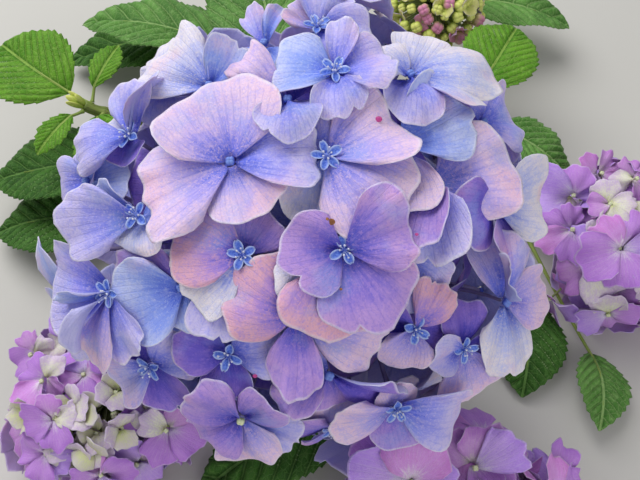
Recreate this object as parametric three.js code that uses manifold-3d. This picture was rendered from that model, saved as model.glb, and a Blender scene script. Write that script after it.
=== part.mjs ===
// A flowering hydrangea branch, cut from the shrub and laid down.
//
// One cane lies along +Y and turns up at its -Y end into a large mophead bloom. Side shoots run
// forward from it to three younger blooms that rest on the floor, and back to a bloom in bud and
// two leafy tips. Sizes are in millimetres and angles in degrees; +Z is up, and z = 0 is the floor.
import * as THREE from 'three';
import Module from 'manifold-3d';

const wasm = await Module();
wasm.setup();

// Driving dimensions
const GAP = 0.3; // between pieces that touch
const ORIGIN = [18.53, 66.42, 0]; // on the floor, under the middle of the branch
const FACE_TILT = 58; // how far above level the large bloom faces
const BLOOM_CENTRE = [0, 0, 118];
const BLOOM_HALF = { across: 91, up: 84, front: 70, back: 40 }; // to the florets' centres
const TOP_TAPER = 0.15; // how much narrower the bloom is at the top of its face
const BLOOM_DEALT = 78; // florets dealt evenly over the whole bloom, before the skipped ones
const FACE_SPACING = 26; // least distance of a dealt floret from a placed one
const BACK_REACH = 24; // of the dealt florets' sepals
const FACE_FLATTEN = 0.35; // how far florets turn from the dome's slope to the viewer
const RIM_INSIDE = 0.02; // keeps placed florets at the bloom's rim in front of its middle
const NECK_TILT = 40; // how far below level the stem leaves the large bloom
const NECK_REACH = 60; // from the bloom's centre to the joint with the cane
const NECK_CLEAR = 50; // no florets nearer to the stem than this many degrees
const CORE_SHARE = 0.66; // the large bloom's core beside its shell of florets
const YOUNG_CORE = 0.76;
const STEM_ANGLE = 26; // round a young bloom's stem, beside half a floret
const OVERLAP_SHARE = 0.85; // florets nearer than this share of their reaches lie in other layers
const LAYER_STEP = 0.13; // between layers, beside a floret's reach
const STALK_ROOT = 0.06; // how deep florets' stalks start in the core, beside the shell
const STEM_SWELL = 1.6; // of a stem's radius in the middle of its bloom
const CANE_RADIUS = { neck: 4.6, cut: 7.6 };
const CANE_NECK = 62; // how far the cane runs on as it leaves the large bloom
const CANE_THROUGH = [-2, 172, 20];
const CANE_CUT = [-8, 268, 7.25];
const SHOOT_RADIUS = { foot: 4.2, tip: 2.9 };
const SHOOT_NECK = 44; // length of the straight run into a bloom
const PETIOLE_SHARE = { foot: 0.022, blade: 0.015 }; // radii beside the blade's length
const PETIOLE_LEAST = 0.8;
const STALK_RADIUS = { foot: 1.6, tip: 1.0 };
const LIMB_SIDES = { cane: 10, shoot: 8, petiole: 6, stalk: 3 };
const LIMB_STEPS = { cane: 14, shoot: 16 };
const SEPAL_THICK = 1.2;
const SEPAL_REACHES = [0.92, 1.08]; // least and most of a floret's sepals, beside its reach
const SEPAL_BOWS = [-0.2, -0.1]; // how far their tips bend back, beside the reach
const DEALT_REACHES = [0.9, 1.08]; // least and most of the large bloom's dealt florets
const YOUNG_REACHES = [0.9, 1.1];
const LEAF_THICK = 2.0;
const LEAF_FORWARD = 0.85; // power that sets a leaf's widest place, nearer to the base below 1
const LEAF_FULLNESS = 0.8; // power that sets how full its outline is, fuller below 1
const LEAF_FOLD = 0.16; // rise of a blade from its midrib to its edge, beside the distance
const PETIOLE_INTO = 0.1; // how far a petiole runs into its blade, as a share of the length
const TOOTH_LENGTH = 16; // along a leaf's edge
const TOOTH = { tip: 1.05, notch: 0.93, forward: 1.5 };

// Placed florets of the large bloom: the place across and up its face, the way the first sepal
// points, the sepals' reach, and how far the floret leans off the dome's slope, right and upwards.
const FACE_FLORETS = [
  [-16, 20, 8, 26, 0.0, 0.1],
  [13, 22, 22, 24, 0.0, 0.0],
  [36, 27, 50, 23, 0.1, 0.1],
  [18, -6, 17, 24, 0.0, 0.0],
  [2, 39, 132, 25, -0.2, 0.1],
  [16, 48, 76, 22, -0.1, 0.1],
  [10, 66, 30, 20, 0.0, 0.1],
  [-8, 64, 90, 20, -0.3, 0.0],
  [-24, 46, 108, 24, -0.2, 0.1],
  [40, 50, 20, 26, 0.1, 0.1],
  [68, 38, 0, 24, 0.1, 0.0],
  [51, 14, 30, 26, 0.1, 0.0],
  [71, 8, 10, 22, 0.2, 0.0],
  [38, -8, -40, 24, 0.1, 0.0],
  [74, -24, 8, 26, -0.1, 0.0],
  [60, -40, 100, 23, 0.0, 0.0],
  [42, -32, 100, 21, 0.0, 0.0],
  [36, -58, 0, 28, 0.0, -0.1],
  [14, -46, 180, 24, 0.0, 0.0],
  [3, -26, 172, 25, -0.1, 0.0],
  [-12, -8, 160, 24, -0.1, 0.1],
  [-18, -40, 140, 23, -0.1, 0.0],
  [-15, -62, 140, 23, 0.0, -0.1],
  [-45, 4, 200, 27, -0.1, 0.1],
  [-66, 16, 150, 24, -0.1, 0.1],
  [-60, -20, 90, 25, -0.2, 0.0],
  [-32, -18, 165, 25, -0.1, 0.0],
  [-46, -46, 45, 24, -0.1, -0.1],
  [-50, 30, 140, 25, -0.1, 0.1],
  [-40, 50, 100, 23, -0.2, 0.1],
];

// Younger blooms. half is across, in front and behind; stem is the way it leaves; tilt and turn set
// the face; the inner florets lie around the middle of the face.
const YOUNG_BLOOMS = {
  bloom_front_left: {
    centre: [-88, -42, 33.5], half: [38, 27, 21], stem: [0.1, 0.94, -0.33],
    tilt: 52, turn: -8, dealt: 25, outer: 16, inner: 8, seed: 21,
  },
  bloom_front_right: {
    centre: [69, -95, 36.7], half: [42, 29, 22], stem: [0.0, 0.94, -0.33],
    tilt: 50, turn: 6, dealt: 25, outer: 18, inner: 9, seed: 22,
  },
  bloom_right: {
    centre: [165, 46, 34.3], half: [40, 29, 22], stem: [-0.8, 0.5, -0.33],
    tilt: 56, turn: 10, dealt: 25, outer: 17, inner: 8, seed: 23,
  },
  bloom_in_bud: {
    centre: [80, 202, 58], half: [22, 17, 12], stem: [-0.35, 0.35, -0.87],
    tilt: 66, turn: 0, dealt: 12, outer: 9, inner: 7, seed: 24,
  },
};
const YOUNG_NECK = 0.95; // the stem joint's distance from the centre, beside the half width
const HEART_ANGLE = 50; // round the middle of a young bloom's face
const LARGE_SEED = 7;

// Side shoots: how far along the cane each starts, the point that it first heads for, and the bloom
// that it carries, or else its last two curve points.
const SHOOTS = {
  shoot_front_left: { from: 0.60, toward: [-52, 108, 14], bloom: 'bloom_front_left' },
  shoot_front_right: { from: 0.60, toward: [46, 92, 14], bloom: 'bloom_front_right' },
  shoot_right: { from: 0.78, toward: [66, 165, 12], bloom: 'bloom_right' },
  shoot_bud: { from: 0.90, toward: [36, 240, 14], bloom: 'bloom_in_bud' },
  shoot_left_tip: { from: 0.42, toward: [-40, 128, 40], last: [[-92, 112, 46], [-114, 113, 66]] },
  shoot_right_tip: { from: 0.42, toward: [36, 128, 40], last: [[74, 120, 40], [94, 122, 50]] },
};
// The pointed buds that end the leafy tips
const TIP_BUD = { length: 11, widest: 0.4, radius: 3.8, point: 0.6 };

// Leaves: the limb that carries each and how far along it, the blade's base and tip, its width, its
// roll about the midrib, and how far it bows up in the middle, as a share of its length.
const LEAVES = {
  leaf_left_tip_large: {
    limb: 'shoot_left_tip', at: 0.88, base: [-123, 122, 66], tip: [-164, 152, 72],
    width: 48, roll: -12, bow: 0.08,
  },
  leaf_left_tip_long: {
    limb: 'shoot_left_tip', at: 0.88, base: [-106, 106, 66], tip: [-92, 66, 58],
    width: 32, roll: 10, bow: 0.10,
  },
  leaf_left_tip_small_up: {
    limb: 'shoot_left_tip', at: 0.96, base: [-109, 121, 71], tip: [-97, 145, 78],
    width: 17, roll: 0, bow: 0.10,
  },
  leaf_left_tip_small_down: {
    limb: 'shoot_left_tip', at: 0.96, base: [-118, 104, 69], tip: [-134, 82, 63],
    width: 17, roll: 0, bow: 0.10,
  },
  leaf_left_dark: {
    limb: 'shoot_left_tip', at: 0.60, base: [-98, 100, 38], tip: [-172, 92, 26],
    width: 54, roll: 8, bow: 0.08,
  },
  leaf_left_low: {
    limb: 'shoot_front_left', at: 0.50, base: [-102, 70, 16], tip: [-170, 68, 10],
    width: 52, roll: 6, bow: 0.10,
  },
  leaf_back_left: {
    limb: 'cane', at: 0.62, base: [-42, 178, 40], tip: [-134, 198, 44],
    width: 52, roll: 10, bow: 0.09,
  },
  leaf_back_left_low: {
    limb: 'cane', at: 0.84, base: [-48, 220, 20], tip: [-152, 200, 8],
    width: 62, roll: 6, bow: 0.08,
  },
  leaf_back_upright: {
    limb: 'cane', at: 0.42, base: [-8, 130, 68], tip: [-28, 222, 74],
    width: 66, roll: 4, bow: 0.10,
  },
  leaf_back_right: {
    limb: 'shoot_bud', at: 0.55, base: [88, 232, 30], tip: [172, 216, 24],
    width: 50, roll: -6, bow: 0.09,
  },
  leaf_right_tip_round: {
    limb: 'shoot_right_tip', at: 0.88, base: [99, 134, 54], tip: [126, 180, 58],
    width: 44, roll: 6, bow: 0.10,
  },
  leaf_right_tip_side: {
    limb: 'shoot_right_tip', at: 0.90, base: [102, 112, 52], tip: [146, 84, 40],
    width: 34, roll: -8, bow: 0.10,
  },
  leaf_right_tip_small: {
    limb: 'shoot_right_tip', at: 0.78, base: [84, 134, 53], tip: [76, 164, 56],
    width: 22, roll: 0, bow: 0.10,
  },
  leaf_right_low: {
    limb: 'shoot_right', at: 0.77, base: [123, 28, 6], tip: [113, -26, 4],
    width: 38, roll: 4, bow: 0.05,
  },
  leaf_right_low_tip: {
    limb: 'shoot_right', at: 0.90, base: [152, -2, 4.5], tip: [146, -46, 12],
    width: 28, roll: -10, bow: 0.12,
  },
  leaf_front_low: {
    limb: 'shoot_front_right', at: 0.72, base: [44, -18, 9], tip: [-46, -74, 5],
    width: 50, roll: 0, bow: 0.08,
  },
};

const vec = (list) => new THREE.Vector3(...list);
const rad = THREE.MathUtils.degToRad;
const between = THREE.MathUtils.lerp;

function seededDraws(seed) {
  let state = seed;
  return () => {
    state = (state * 1664525 + 1013904223) % 4294967296;
    return state / 4294967296;
  };
}

// Solids from points and triangles, and back
function solidFrom(points, triangles) {
  return new wasm.Manifold(new wasm.Mesh({
    numProp: 3,
    vertProperties: new Float32Array(points.flatMap((p) => [p.x, p.y, p.z])),
    triVerts: new Uint32Array(triangles.flat()),
  }));
}

function joined(solids) {
  let rest = solids;
  while (rest.length > 1) {
    const next = [];
    for (let i = 0; i < rest.length; i += 2) {
      next.push(i + 1 < rest.length ? rest[i].add(rest[i + 1]) : rest[i]);
    }
    rest = next;
  }
  return rest[0];
}

// The geometry of a solid's one outer surface: hollows that joining sealed, and loose scraps, go.
function outerSurface(solid) {
  const { vertProperties, triVerts } = solid.getMesh();
  const root = Array.from({ length: vertProperties.length / 3 }, (_, i) => i);
  const find = (i) => {
    while (root[i] !== i) {
      root[i] = root[root[i]];
      i = root[i];
    }
    return i;
  };
  const point = (i) => new THREE.Vector3().fromArray(vertProperties, 3 * i);
  for (let t = 0; t < triVerts.length; t += 3) {
    root[find(triVerts[t + 1])] = find(triVerts[t]);
    root[find(triVerts[t + 2])] = find(triVerts[t]);
  }
  const volume = new Map();
  for (let t = 0; t < triVerts.length; t += 3) {
    const [a, b, c] = [0, 1, 2].map((k) => point(triVerts[t + k]));
    const shell = find(triVerts[t]);
    volume.set(shell, (volume.get(shell) ?? 0) + a.dot(b.cross(c)) / 6);
  }
  const largest = [...volume].reduce((best, one) => (one[1] > best[1] ? one : best))[0];
  const index = [];
  for (let t = 0; t < triVerts.length; t += 3) {
    if (find(triVerts[t]) === largest) index.push(triVerts[t], triVerts[t + 1], triVerts[t + 2]);
  }
  const geometry = new THREE.BufferGeometry();
  geometry.setAttribute('position', new THREE.BufferAttribute(vertProperties, 3));
  geometry.setIndex(index);
  return geometry;
}

// A round limb along a curve, tapering from radius first to last, with flat ends.
function limbSolid(curve, first, last, sides, steps) {
  const frames = curve.computeFrenetFrames(steps, false);
  const points = [];
  const triangles = [];
  for (let i = 0; i <= steps; i += 1) {
    const centre = curve.getPointAt(i / steps);
    const radius = between(first, last, i / steps);
    for (let k = 0; k < sides; k += 1) {
      const angle = (2 * Math.PI * k) / sides;
      points.push(centre.clone()
        .addScaledVector(frames.normals[i], radius * Math.cos(angle))
        .addScaledVector(frames.binormals[i], radius * Math.sin(angle)));
    }
  }
  for (let i = 0; i < steps; i += 1) {
    for (let k = 0; k < sides; k += 1) {
      const a = i * sides + k;
      const b = i * sides + ((k + 1) % sides);
      triangles.push([a, b, a + sides], [b, b + sides, a + sides]);
    }
  }
  for (let k = 1; k + 1 < sides; k += 1) {
    triangles.push([0, k + 1, k], [steps * sides, steps * sides + k, steps * sides + k + 1]);
  }
  return solidFrom(points, triangles);
}

function straightLimb(from, to, first, last, sides) {
  return limbSolid(new THREE.LineCurve3(from, to), first, last, sides, 1);
}

// An ellipsoid with its own half size in front of and behind its middle.
function coreSolid(half) {
  const ball = new THREE.IcosahedronGeometry(1, 1);
  const place = ball.getAttribute('position');
  const points = [];
  const seen = new Map();
  const index = [];
  for (let i = 0; i < place.count; i += 1) {
    const p = new THREE.Vector3().fromBufferAttribute(place, i);
    const key = p.toArray().map((value) => value.toFixed(4)).join();
    if (!seen.has(key)) {
      seen.set(key, points.length);
      const depth = p.z > 0 ? half.front : half.back;
      points.push(new THREE.Vector3(p.x * half.across, p.y * half.up, p.z * depth));
    }
    index.push(seen.get(key));
  }
  const triangles = [];
  for (let i = 0; i < index.length; i += 3) triangles.push(index.slice(i, i + 3));
  return solidFrom(points, triangles);
}

// A quarter of a floret's outline: degrees off the middle of a sepal, and the share of its reach
// there. The last point is the notch that two sepals share.
const LOBE_OUTLINE = [[-34, 0.86], [-13, 1], [13, 1], [34, 0.86], [45, 0.55]];
const SIMPLE_LOBE = [[-23, 0.98], [23, 0.98], [45, 0.55]];

// Right and up of a floret, from the way that it faces.
function floretFrame(out) {
  const side = Math.abs(out.x) < 0.9 ? new THREE.Vector3(1, 0, 0) : new THREE.Vector3(0, 1, 0);
  const right = side.addScaledVector(out, -side.dot(out)).normalize();
  return { right, up: new THREE.Vector3().crossVectors(out, right) };
}

// A floret's four broad sepals as one plate, thickest in the middle, on a stalk from the core.
function floretSolids({ place, out, turn, reach, lobe, root }, draw) {
  const { right, up } = floretFrame(out);
  const lobes = [0, 1, 2, 3].map(() => ({
    reach: reach * between(...SEPAL_REACHES, draw()),
    bow: between(...SEPAL_BOWS, draw()),
  }));
  const ring = lobes.flatMap((one, k) => lobe.map(([degrees, share], i) => {
    const next = lobes[(k + 1) % 4];
    const mix = i === lobe.length - 1 ? 0.5 : 0;
    const far = between(one.reach, next.reach, mix) * share;
    const angle = rad(turn + 90 * k + degrees);
    return place.clone()
      .addScaledVector(right, far * Math.cos(angle))
      .addScaledVector(up, far * Math.sin(angle))
      .addScaledVector(out, between(one.bow, next.bow, mix) * reach * share * share);
  }));
  const top = place.clone().addScaledVector(out, SEPAL_THICK / 2);
  const bottom = place.clone().addScaledVector(out, -SEPAL_THICK / 2);
  const count = ring.length;
  const triangles = ring.flatMap((_, i) => {
    const next = (i + 1) % count;
    return [[i, next, count], [next, i, count + 1]];
  });
  const stalk = straightLimb(root, place, STALK_RADIUS.foot, STALK_RADIUS.tip, LIMB_SIDES.stalk);
  return [solidFrom([...ring, top, bottom], triangles), stalk];
}

// Lifts florets off the shell so that those that overlap lie over and under each other.
function layered(florets) {
  const layers = [];
  florets.forEach((floret, i) => {
    const taken = layers.filter((_, j) => {
      const other = florets[j];
      return other.shell.distanceTo(floret.shell) < OVERLAP_SHARE * (other.reach + floret.reach);
    });
    const free = [0, 1, 2, 3].filter((layer) => !taken.includes(layer));
    layers[i] = free.length ? free[0] : i % 4;
    floret.place = floret.shell.clone().addScaledVector(floret.out, layers[i] * LAYER_STEP * floret.reach);
  });
  return florets;
}

// A point of a bloom's shell in the direction of a unit vector, and the shell's slope there.
function shellPoint(direction, half) {
  const depth = direction.z > 0 ? half.front : half.back;
  const scaled = new THREE.Vector3(direction.x / half.across, direction.y / half.up, direction.z / depth);
  const place = direction.clone().divideScalar(scaled.length());
  const out = new THREE.Vector3(
    place.x / half.across ** 2,
    place.y / half.up ** 2,
    place.z / depth ** 2,
  ).normalize();
  return { place, out };
}

// Directions spread evenly over a ball, by the golden angle.
function evenDirections(count) {
  const golden = Math.PI * (3 - Math.sqrt(5));
  return Array.from({ length: count }, (_, i) => {
    const z = 1 - (2 * (i + 0.5)) / count;
    const flat = Math.sqrt(1 - z * z);
    return new THREE.Vector3(flat * Math.cos(golden * i), flat * Math.sin(golden * i), z);
  });
}

function facing(out, leanRight, leanUp) {
  return new THREE.Vector3(
    between(out.x, 0, FACE_FLATTEN) + leanRight,
    between(out.y, 0, FACE_FLATTEN) + leanUp,
    between(out.z, 1, FACE_FLATTEN),
  ).normalize();
}

// The core that a bloom's stalks spring from, and the stem out of it.
function heartSolids(half, share, stem, neckReach, stemRadius) {
  const core = {};
  Object.entries(half).forEach(([side, size]) => { core[side] = size * share; });
  const joint = stem.clone().multiplyScalar(neckReach);
  const middle = new THREE.Vector3();
  return [
    coreSolid(core),
    straightLimb(middle, joint, STEM_SWELL * stemRadius, stemRadius, LIMB_SIDES.shoot),
  ];
}

// Where the florets' stalks start, just inside the core's surface.
function rooted(florets, share) {
  florets.forEach((floret) => {
    floret.root = floret.shell.clone().multiplyScalar(share - STALK_ROOT);
  });
}

// The large bloom, in its own frame: x across its face, y up it and z out of it.
function largeBloom(stem, neckReach) {
  const draw = seededDraws(LARGE_SEED);
  const florets = FACE_FLORETS.map(([x, y, turn, reach, leanRight, leanUp]) => {
    const inside = 1 - (x / BLOOM_HALF.across) ** 2 - (y / BLOOM_HALF.up) ** 2;
    const shell = new THREE.Vector3(x, y, BLOOM_HALF.front * Math.sqrt(Math.max(inside, RIM_INSIDE)));
    const { out } = shellPoint(shell.clone().normalize(), BLOOM_HALF);
    return { shell, out: facing(out, leanRight, leanUp), turn, reach, lobe: LOBE_OUTLINE };
  });
  const placed = florets.length;
  evenDirections(BLOOM_DEALT).forEach((direction) => {
    const { place, out } = shellPoint(direction, BLOOM_HALF);
    place.x *= 1 - TOP_TAPER * Math.max(0, place.y / BLOOM_HALF.up);
    const turn = 90 * draw();
    const reach = BACK_REACH * between(...DEALT_REACHES, draw());
    const near = florets.slice(0, placed).some((other) => other.shell.distanceTo(place) < FACE_SPACING);
    if (near || direction.angleTo(stem) < rad(NECK_CLEAR)) return;
    florets.push({ shell: place, out, turn, reach, lobe: SIMPLE_LOBE });
  });
  layered(florets);
  rooted(florets, CORE_SHARE);
  return outerSurface(joined([
    ...florets.flatMap((floret) => floretSolids(floret, draw)),
    ...heartSolids(BLOOM_HALF, CORE_SHARE, stem, neckReach, CANE_RADIUS.neck),
  ]));
}

// A younger bloom, in the same kind of frame: open florets round a heart of half-open ones.
function youngBloom({ half, dealt, outer, inner, seed }, stem, neckReach) {
  const draw = seededDraws(seed);
  const shell = { across: half[0], up: half[0], front: half[1], back: half[2] };
  const clear = rad(STEM_ANGLE) + Math.atan(outer / shell.across);
  const face = new THREE.Vector3(0, 0, 1);
  const florets = [];
  evenDirections(dealt).forEach((direction) => {
    const { place, out } = shellPoint(direction, shell);
    const turn = 90 * draw();
    const size = direction.angleTo(face) < rad(HEART_ANGLE) ? inner : outer;
    const reach = size * between(...YOUNG_REACHES, draw());
    if (direction.angleTo(stem) < clear) return;
    florets.push({ shell: place, out, turn, reach, lobe: SIMPLE_LOBE });
  });
  layered(florets);
  rooted(florets, YOUNG_CORE);
  return outerSurface(joined([
    ...florets.flatMap((floret) => floretSolids(floret, draw)),
    ...heartSolids(shell, YOUNG_CORE, stem, neckReach, SHOOT_RADIUS.tip),
  ]));
}

// Where a limb's flat foot sits on the side of another limb, clear of it by the gap.
function footOn(curve, share, radiusThere, toward, footRadius) {
  const centre = curve.getPointAt(share);
  const way = toward.clone().sub(centre).normalize();
  const slope = Math.abs(way.dot(curve.getTangentAt(share)));
  const reach = (radiusThere + GAP + footRadius * slope) / Math.sqrt(1 - slope * slope);
  return centre.addScaledVector(way, reach);
}

// A leaf in its own frame: the base at the origin, the tip along +x and the blade's upper side +z.
// Its rows alternate between notches and teeth, and the first and last are single points.
function leafSolid(length, width, bow, foot, stalk) {
  const points = [];
  const triangles = [];
  const arch = (share) => 4 * bow * length * share * (1 - share);
  const count = 2 * Math.max(3, Math.round(length / TOOTH_LENGTH));
  const rows = Array.from({ length: count + 1 }, (_, i) => {
    const share = i / count;
    const first = points.length;
    if (i === 0 || i === count) {
      points.push(new THREE.Vector3(share * length, 0, 0));
      return { top: first, bottom: first, left: first, right: first };
    }
    const half = (width / 2) * Math.sin(Math.PI * share ** LEAF_FORWARD) ** LEAF_FULLNESS;
    const side = half * (i % 2 ? TOOTH.tip : TOOTH.notch);
    const edge = share * length + (i % 2 ? TOOTH.forward : 0);
    points.push(
      new THREE.Vector3(share * length, 0, arch(share) + LEAF_THICK / 2),
      new THREE.Vector3(share * length, 0, arch(share) - LEAF_THICK / 2),
      new THREE.Vector3(edge, side, arch(share) + LEAF_FOLD * side),
      new THREE.Vector3(edge, -side, arch(share) + LEAF_FOLD * side),
    );
    return { top: first, bottom: first + 1, left: first + 2, right: first + 3 };
  });
  const quad = (a, b, c, d) => {
    if (b !== c) triangles.push([a, b, c]);
    if (a !== d) triangles.push([a, c, d]);
  };
  for (let i = 0; i < count; i += 1) {
    const [a, b] = [rows[i], rows[i + 1]];
    quad(a.top, b.top, b.left, a.left);
    quad(a.right, b.right, b.top, a.top);
    quad(a.left, b.left, b.bottom, a.bottom);
    quad(a.bottom, b.bottom, b.right, a.right);
  }
  const inBlade = new THREE.Vector3(PETIOLE_INTO * length, 0, arch(PETIOLE_INTO));
  const petiole = straightLimb(foot, inBlade, stalk.foot, stalk.blade, LIMB_SIDES.petiole);
  return solidFrom(points, triangles).add(petiole);
}

// The frame of a leaf: x from base to tip, y level before the roll.
function leafFrame(base, tip, roll) {
  const along = tip.clone().sub(base).normalize();
  const left = new THREE.Vector3(0, 0, 1).cross(along).normalize();
  const above = new THREE.Vector3().crossVectors(along, left);
  const turned = new THREE.Matrix4().makeRotationX(rad(roll));
  return new THREE.Matrix4().makeBasis(along, left, above).multiply(turned).setPosition(base);
}

const stemLook = new THREE.MeshStandardMaterial({ color: 0x6f7a45, roughness: 0.7 });
const barkLook = new THREE.MeshStandardMaterial({ color: 0x84704f, roughness: 0.9 });
const leafLook = new THREE.MeshStandardMaterial({ color: 0x4f8a35, roughness: 0.55 });
const sepalLook = new THREE.MeshStandardMaterial({ color: 0xa9a2e0, roughness: 0.6 });
const youngLook = new THREE.MeshStandardMaterial({ color: 0xc58fcf, roughness: 0.6 });
const budLook = new THREE.MeshStandardMaterial({ color: 0xb7c77a, roughness: 0.6 });

const branch = new THREE.Group();
branch.position.copy(vec(ORIGIN)).negate();

function addMesh(name, geometry, look, matrix) {
  const mesh = new THREE.Mesh(geometry, look);
  mesh.name = name;
  if (matrix) mesh.applyMatrix4(matrix);
  branch.add(mesh);
  return mesh;
}

// The large bloom and the cane that it ends
const neckWay = new THREE.Vector3(0, Math.cos(rad(NECK_TILT)), -Math.sin(rad(NECK_TILT)));
const largeFrame = new THREE.Matrix4().makeRotationX(rad(90 - FACE_TILT)).setPosition(vec(BLOOM_CENTRE));
const largeStem = neckWay.clone().transformDirection(largeFrame.clone().invert());
addMesh('bloom_large', largeBloom(largeStem, NECK_REACH), sepalLook, largeFrame);

const caneTop = vec(BLOOM_CENTRE).addScaledVector(neckWay, NECK_REACH + GAP);
const caneCurve = new THREE.CubicBezierCurve3(
  caneTop,
  caneTop.clone().addScaledVector(neckWay, CANE_NECK),
  vec(CANE_THROUGH),
  vec(CANE_CUT),
);
const caneRadius = (share) => between(CANE_RADIUS.neck, CANE_RADIUS.cut, share);
const caneSolid = limbSolid(
  caneCurve,
  CANE_RADIUS.neck,
  CANE_RADIUS.cut,
  LIMB_SIDES.cane,
  LIMB_STEPS.cane,
);
addMesh('cane', outerSurface(caneSolid), barkLook);

// The younger blooms
const joints = {};
Object.entries(YOUNG_BLOOMS).forEach(([name, bloom]) => {
  const frame = new THREE.Matrix4().makeRotationZ(rad(bloom.turn))
    .multiply(new THREE.Matrix4().makeRotationX(rad(90 - bloom.tilt)))
    .setPosition(vec(bloom.centre));
  const way = vec(bloom.stem).normalize();
  const stem = way.clone().transformDirection(frame.clone().invert());
  const reach = bloom.half[0] * YOUNG_NECK;
  joints[name] = { way, place: vec(bloom.centre).addScaledVector(way, reach + GAP) };
  const look = name === 'bloom_in_bud' ? budLook : youngLook;
  addMesh(name, youngBloom(bloom, stem, reach), look, frame);
});

// A pointed bud on the end of a shoot, in two cones that start inside it.
function tipBud(curve) {
  const tip = curve.getPointAt(1);
  const way = curve.getTangentAt(1);
  const beyond = (distance) => tip.clone().addScaledVector(way, distance);
  const widest = beyond(TIP_BUD.widest * TIP_BUD.length);
  return [
    straightLimb(beyond(-1), widest, SHOOT_RADIUS.tip, TIP_BUD.radius, LIMB_SIDES.shoot),
    straightLimb(widest, beyond(TIP_BUD.length), TIP_BUD.radius, TIP_BUD.point, LIMB_SIDES.shoot),
  ];
}

// The side shoots
const limbs = { cane: { curve: caneCurve, radius: caneRadius } };
Object.entries(SHOOTS).forEach(([name, shoot]) => {
  const toward = vec(shoot.toward);
  const foot = footOn(caneCurve, shoot.from, caneRadius(shoot.from), toward, SHOOT_RADIUS.foot);
  const joint = joints[shoot.bloom];
  const [bend, tip] = joint
    ? [joint.place.clone().addScaledVector(joint.way, SHOOT_NECK), joint.place]
    : shoot.last.map(vec);
  const curve = new THREE.CubicBezierCurve3(foot, toward, bend, tip);
  const radius = (share) => between(SHOOT_RADIUS.foot, SHOOT_RADIUS.tip, share);
  const { foot: first, tip: last } = SHOOT_RADIUS;
  const pieces = [limbSolid(curve, first, last, LIMB_SIDES.shoot, LIMB_STEPS.shoot)];
  if (!joint) pieces.push(...tipBud(curve));
  limbs[name] = { curve, radius };
  addMesh(name, outerSurface(joined(pieces)), stemLook);
});

// The leaves
Object.entries(LEAVES).forEach(([name, leaf]) => {
  const { curve, radius } = limbs[leaf.limb];
  const base = vec(leaf.base);
  const tip = vec(leaf.tip);
  const frame = leafFrame(base, tip, leaf.roll);
  const length = base.distanceTo(tip);
  const stalk = {
    foot: Math.max(PETIOLE_LEAST, PETIOLE_SHARE.foot * length),
    blade: Math.max(PETIOLE_LEAST, PETIOLE_SHARE.blade * length),
  };
  const foot = footOn(curve, leaf.at, radius(leaf.at), base, stalk.foot);
  foot.applyMatrix4(frame.clone().invert());
  const solid = leafSolid(length, leaf.width, leaf.bow, foot, stalk);
  addMesh(name, outerSurface(solid), leafLook, frame);
});

export default branch;
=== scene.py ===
"""A flowering hydrangea branch, cut and laid down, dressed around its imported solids.

Sizes are in millimetres in the branch's own modelling frame and angles in degrees, as in the
part's source; make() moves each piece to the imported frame, in metres.
"""
import math

import bpy
import numpy as np
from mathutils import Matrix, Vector


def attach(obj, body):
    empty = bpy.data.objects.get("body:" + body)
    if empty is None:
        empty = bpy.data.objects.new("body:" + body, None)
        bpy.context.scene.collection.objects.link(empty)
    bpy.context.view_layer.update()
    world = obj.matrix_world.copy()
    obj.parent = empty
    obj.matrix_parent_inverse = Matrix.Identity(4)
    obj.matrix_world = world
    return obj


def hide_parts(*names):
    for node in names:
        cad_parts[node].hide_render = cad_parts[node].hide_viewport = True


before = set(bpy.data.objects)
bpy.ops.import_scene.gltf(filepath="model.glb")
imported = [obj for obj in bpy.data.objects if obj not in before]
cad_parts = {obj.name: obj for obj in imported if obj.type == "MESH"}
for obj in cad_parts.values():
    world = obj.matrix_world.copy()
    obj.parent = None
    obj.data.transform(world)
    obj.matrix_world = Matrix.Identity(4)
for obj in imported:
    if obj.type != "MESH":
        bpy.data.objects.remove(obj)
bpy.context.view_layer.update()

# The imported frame: its origin in the modelling frame, and its unit
ORIGIN = np.array([18.53, 66.42, 0.0])
MM = 0.001

# The camera, from the photograph's viewing angle: 640 by 480 pixels, 800 pixels to the focal length
CAMERA_PLACE = (11.2, -172.3, 387.7)
CAMERA_DOWN = 58
CAMERA_LENS = 45
CAMERA_SENSOR = 36

# The large bloom, as in the part's source
FACE_TILT = 58
BLOOM_CENTRE = (0, 0, 118)
BLOOM_HALF = (91, 84, 70, 40)  # across, up, in front and behind
TOP_TAPER = 0.15
BLOOM_DEALT = 78
FACE_SPACING = 26
BACK_REACH = 24
FACE_FLATTEN = 0.35
RIM_INSIDE = 0.02
NECK_TILT = 40
NECK_REACH = 60
NECK_CLEAR = 50
OVERLAP_SHARE = 0.85
LAYER_STEP = 0.13
CANE_RADIUS = (4.6, 7.6)
CANE_NECK = 62
CANE_THROUGH = (-2, 172, 20)
CANE_CUT = (-8, 268, 7.25)
SHOOT_RADIUS = (4.2, 2.9)
SHOOT_NECK = 44
GAP = 0.3
PETIOLE_SHARE = (0.022, 0.015)
PETIOLE_LEAST = 0.8
YOUNG_NECK = 0.95
STEM_ANGLE = 26
HEART_ANGLE = 50
LARGE_SEED = 7

# The inner florets that close the large bloom behind its outer ones
INNER_DEALT = 64
INNER_SHARE = 0.74
INNER_REACH = 21

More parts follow.
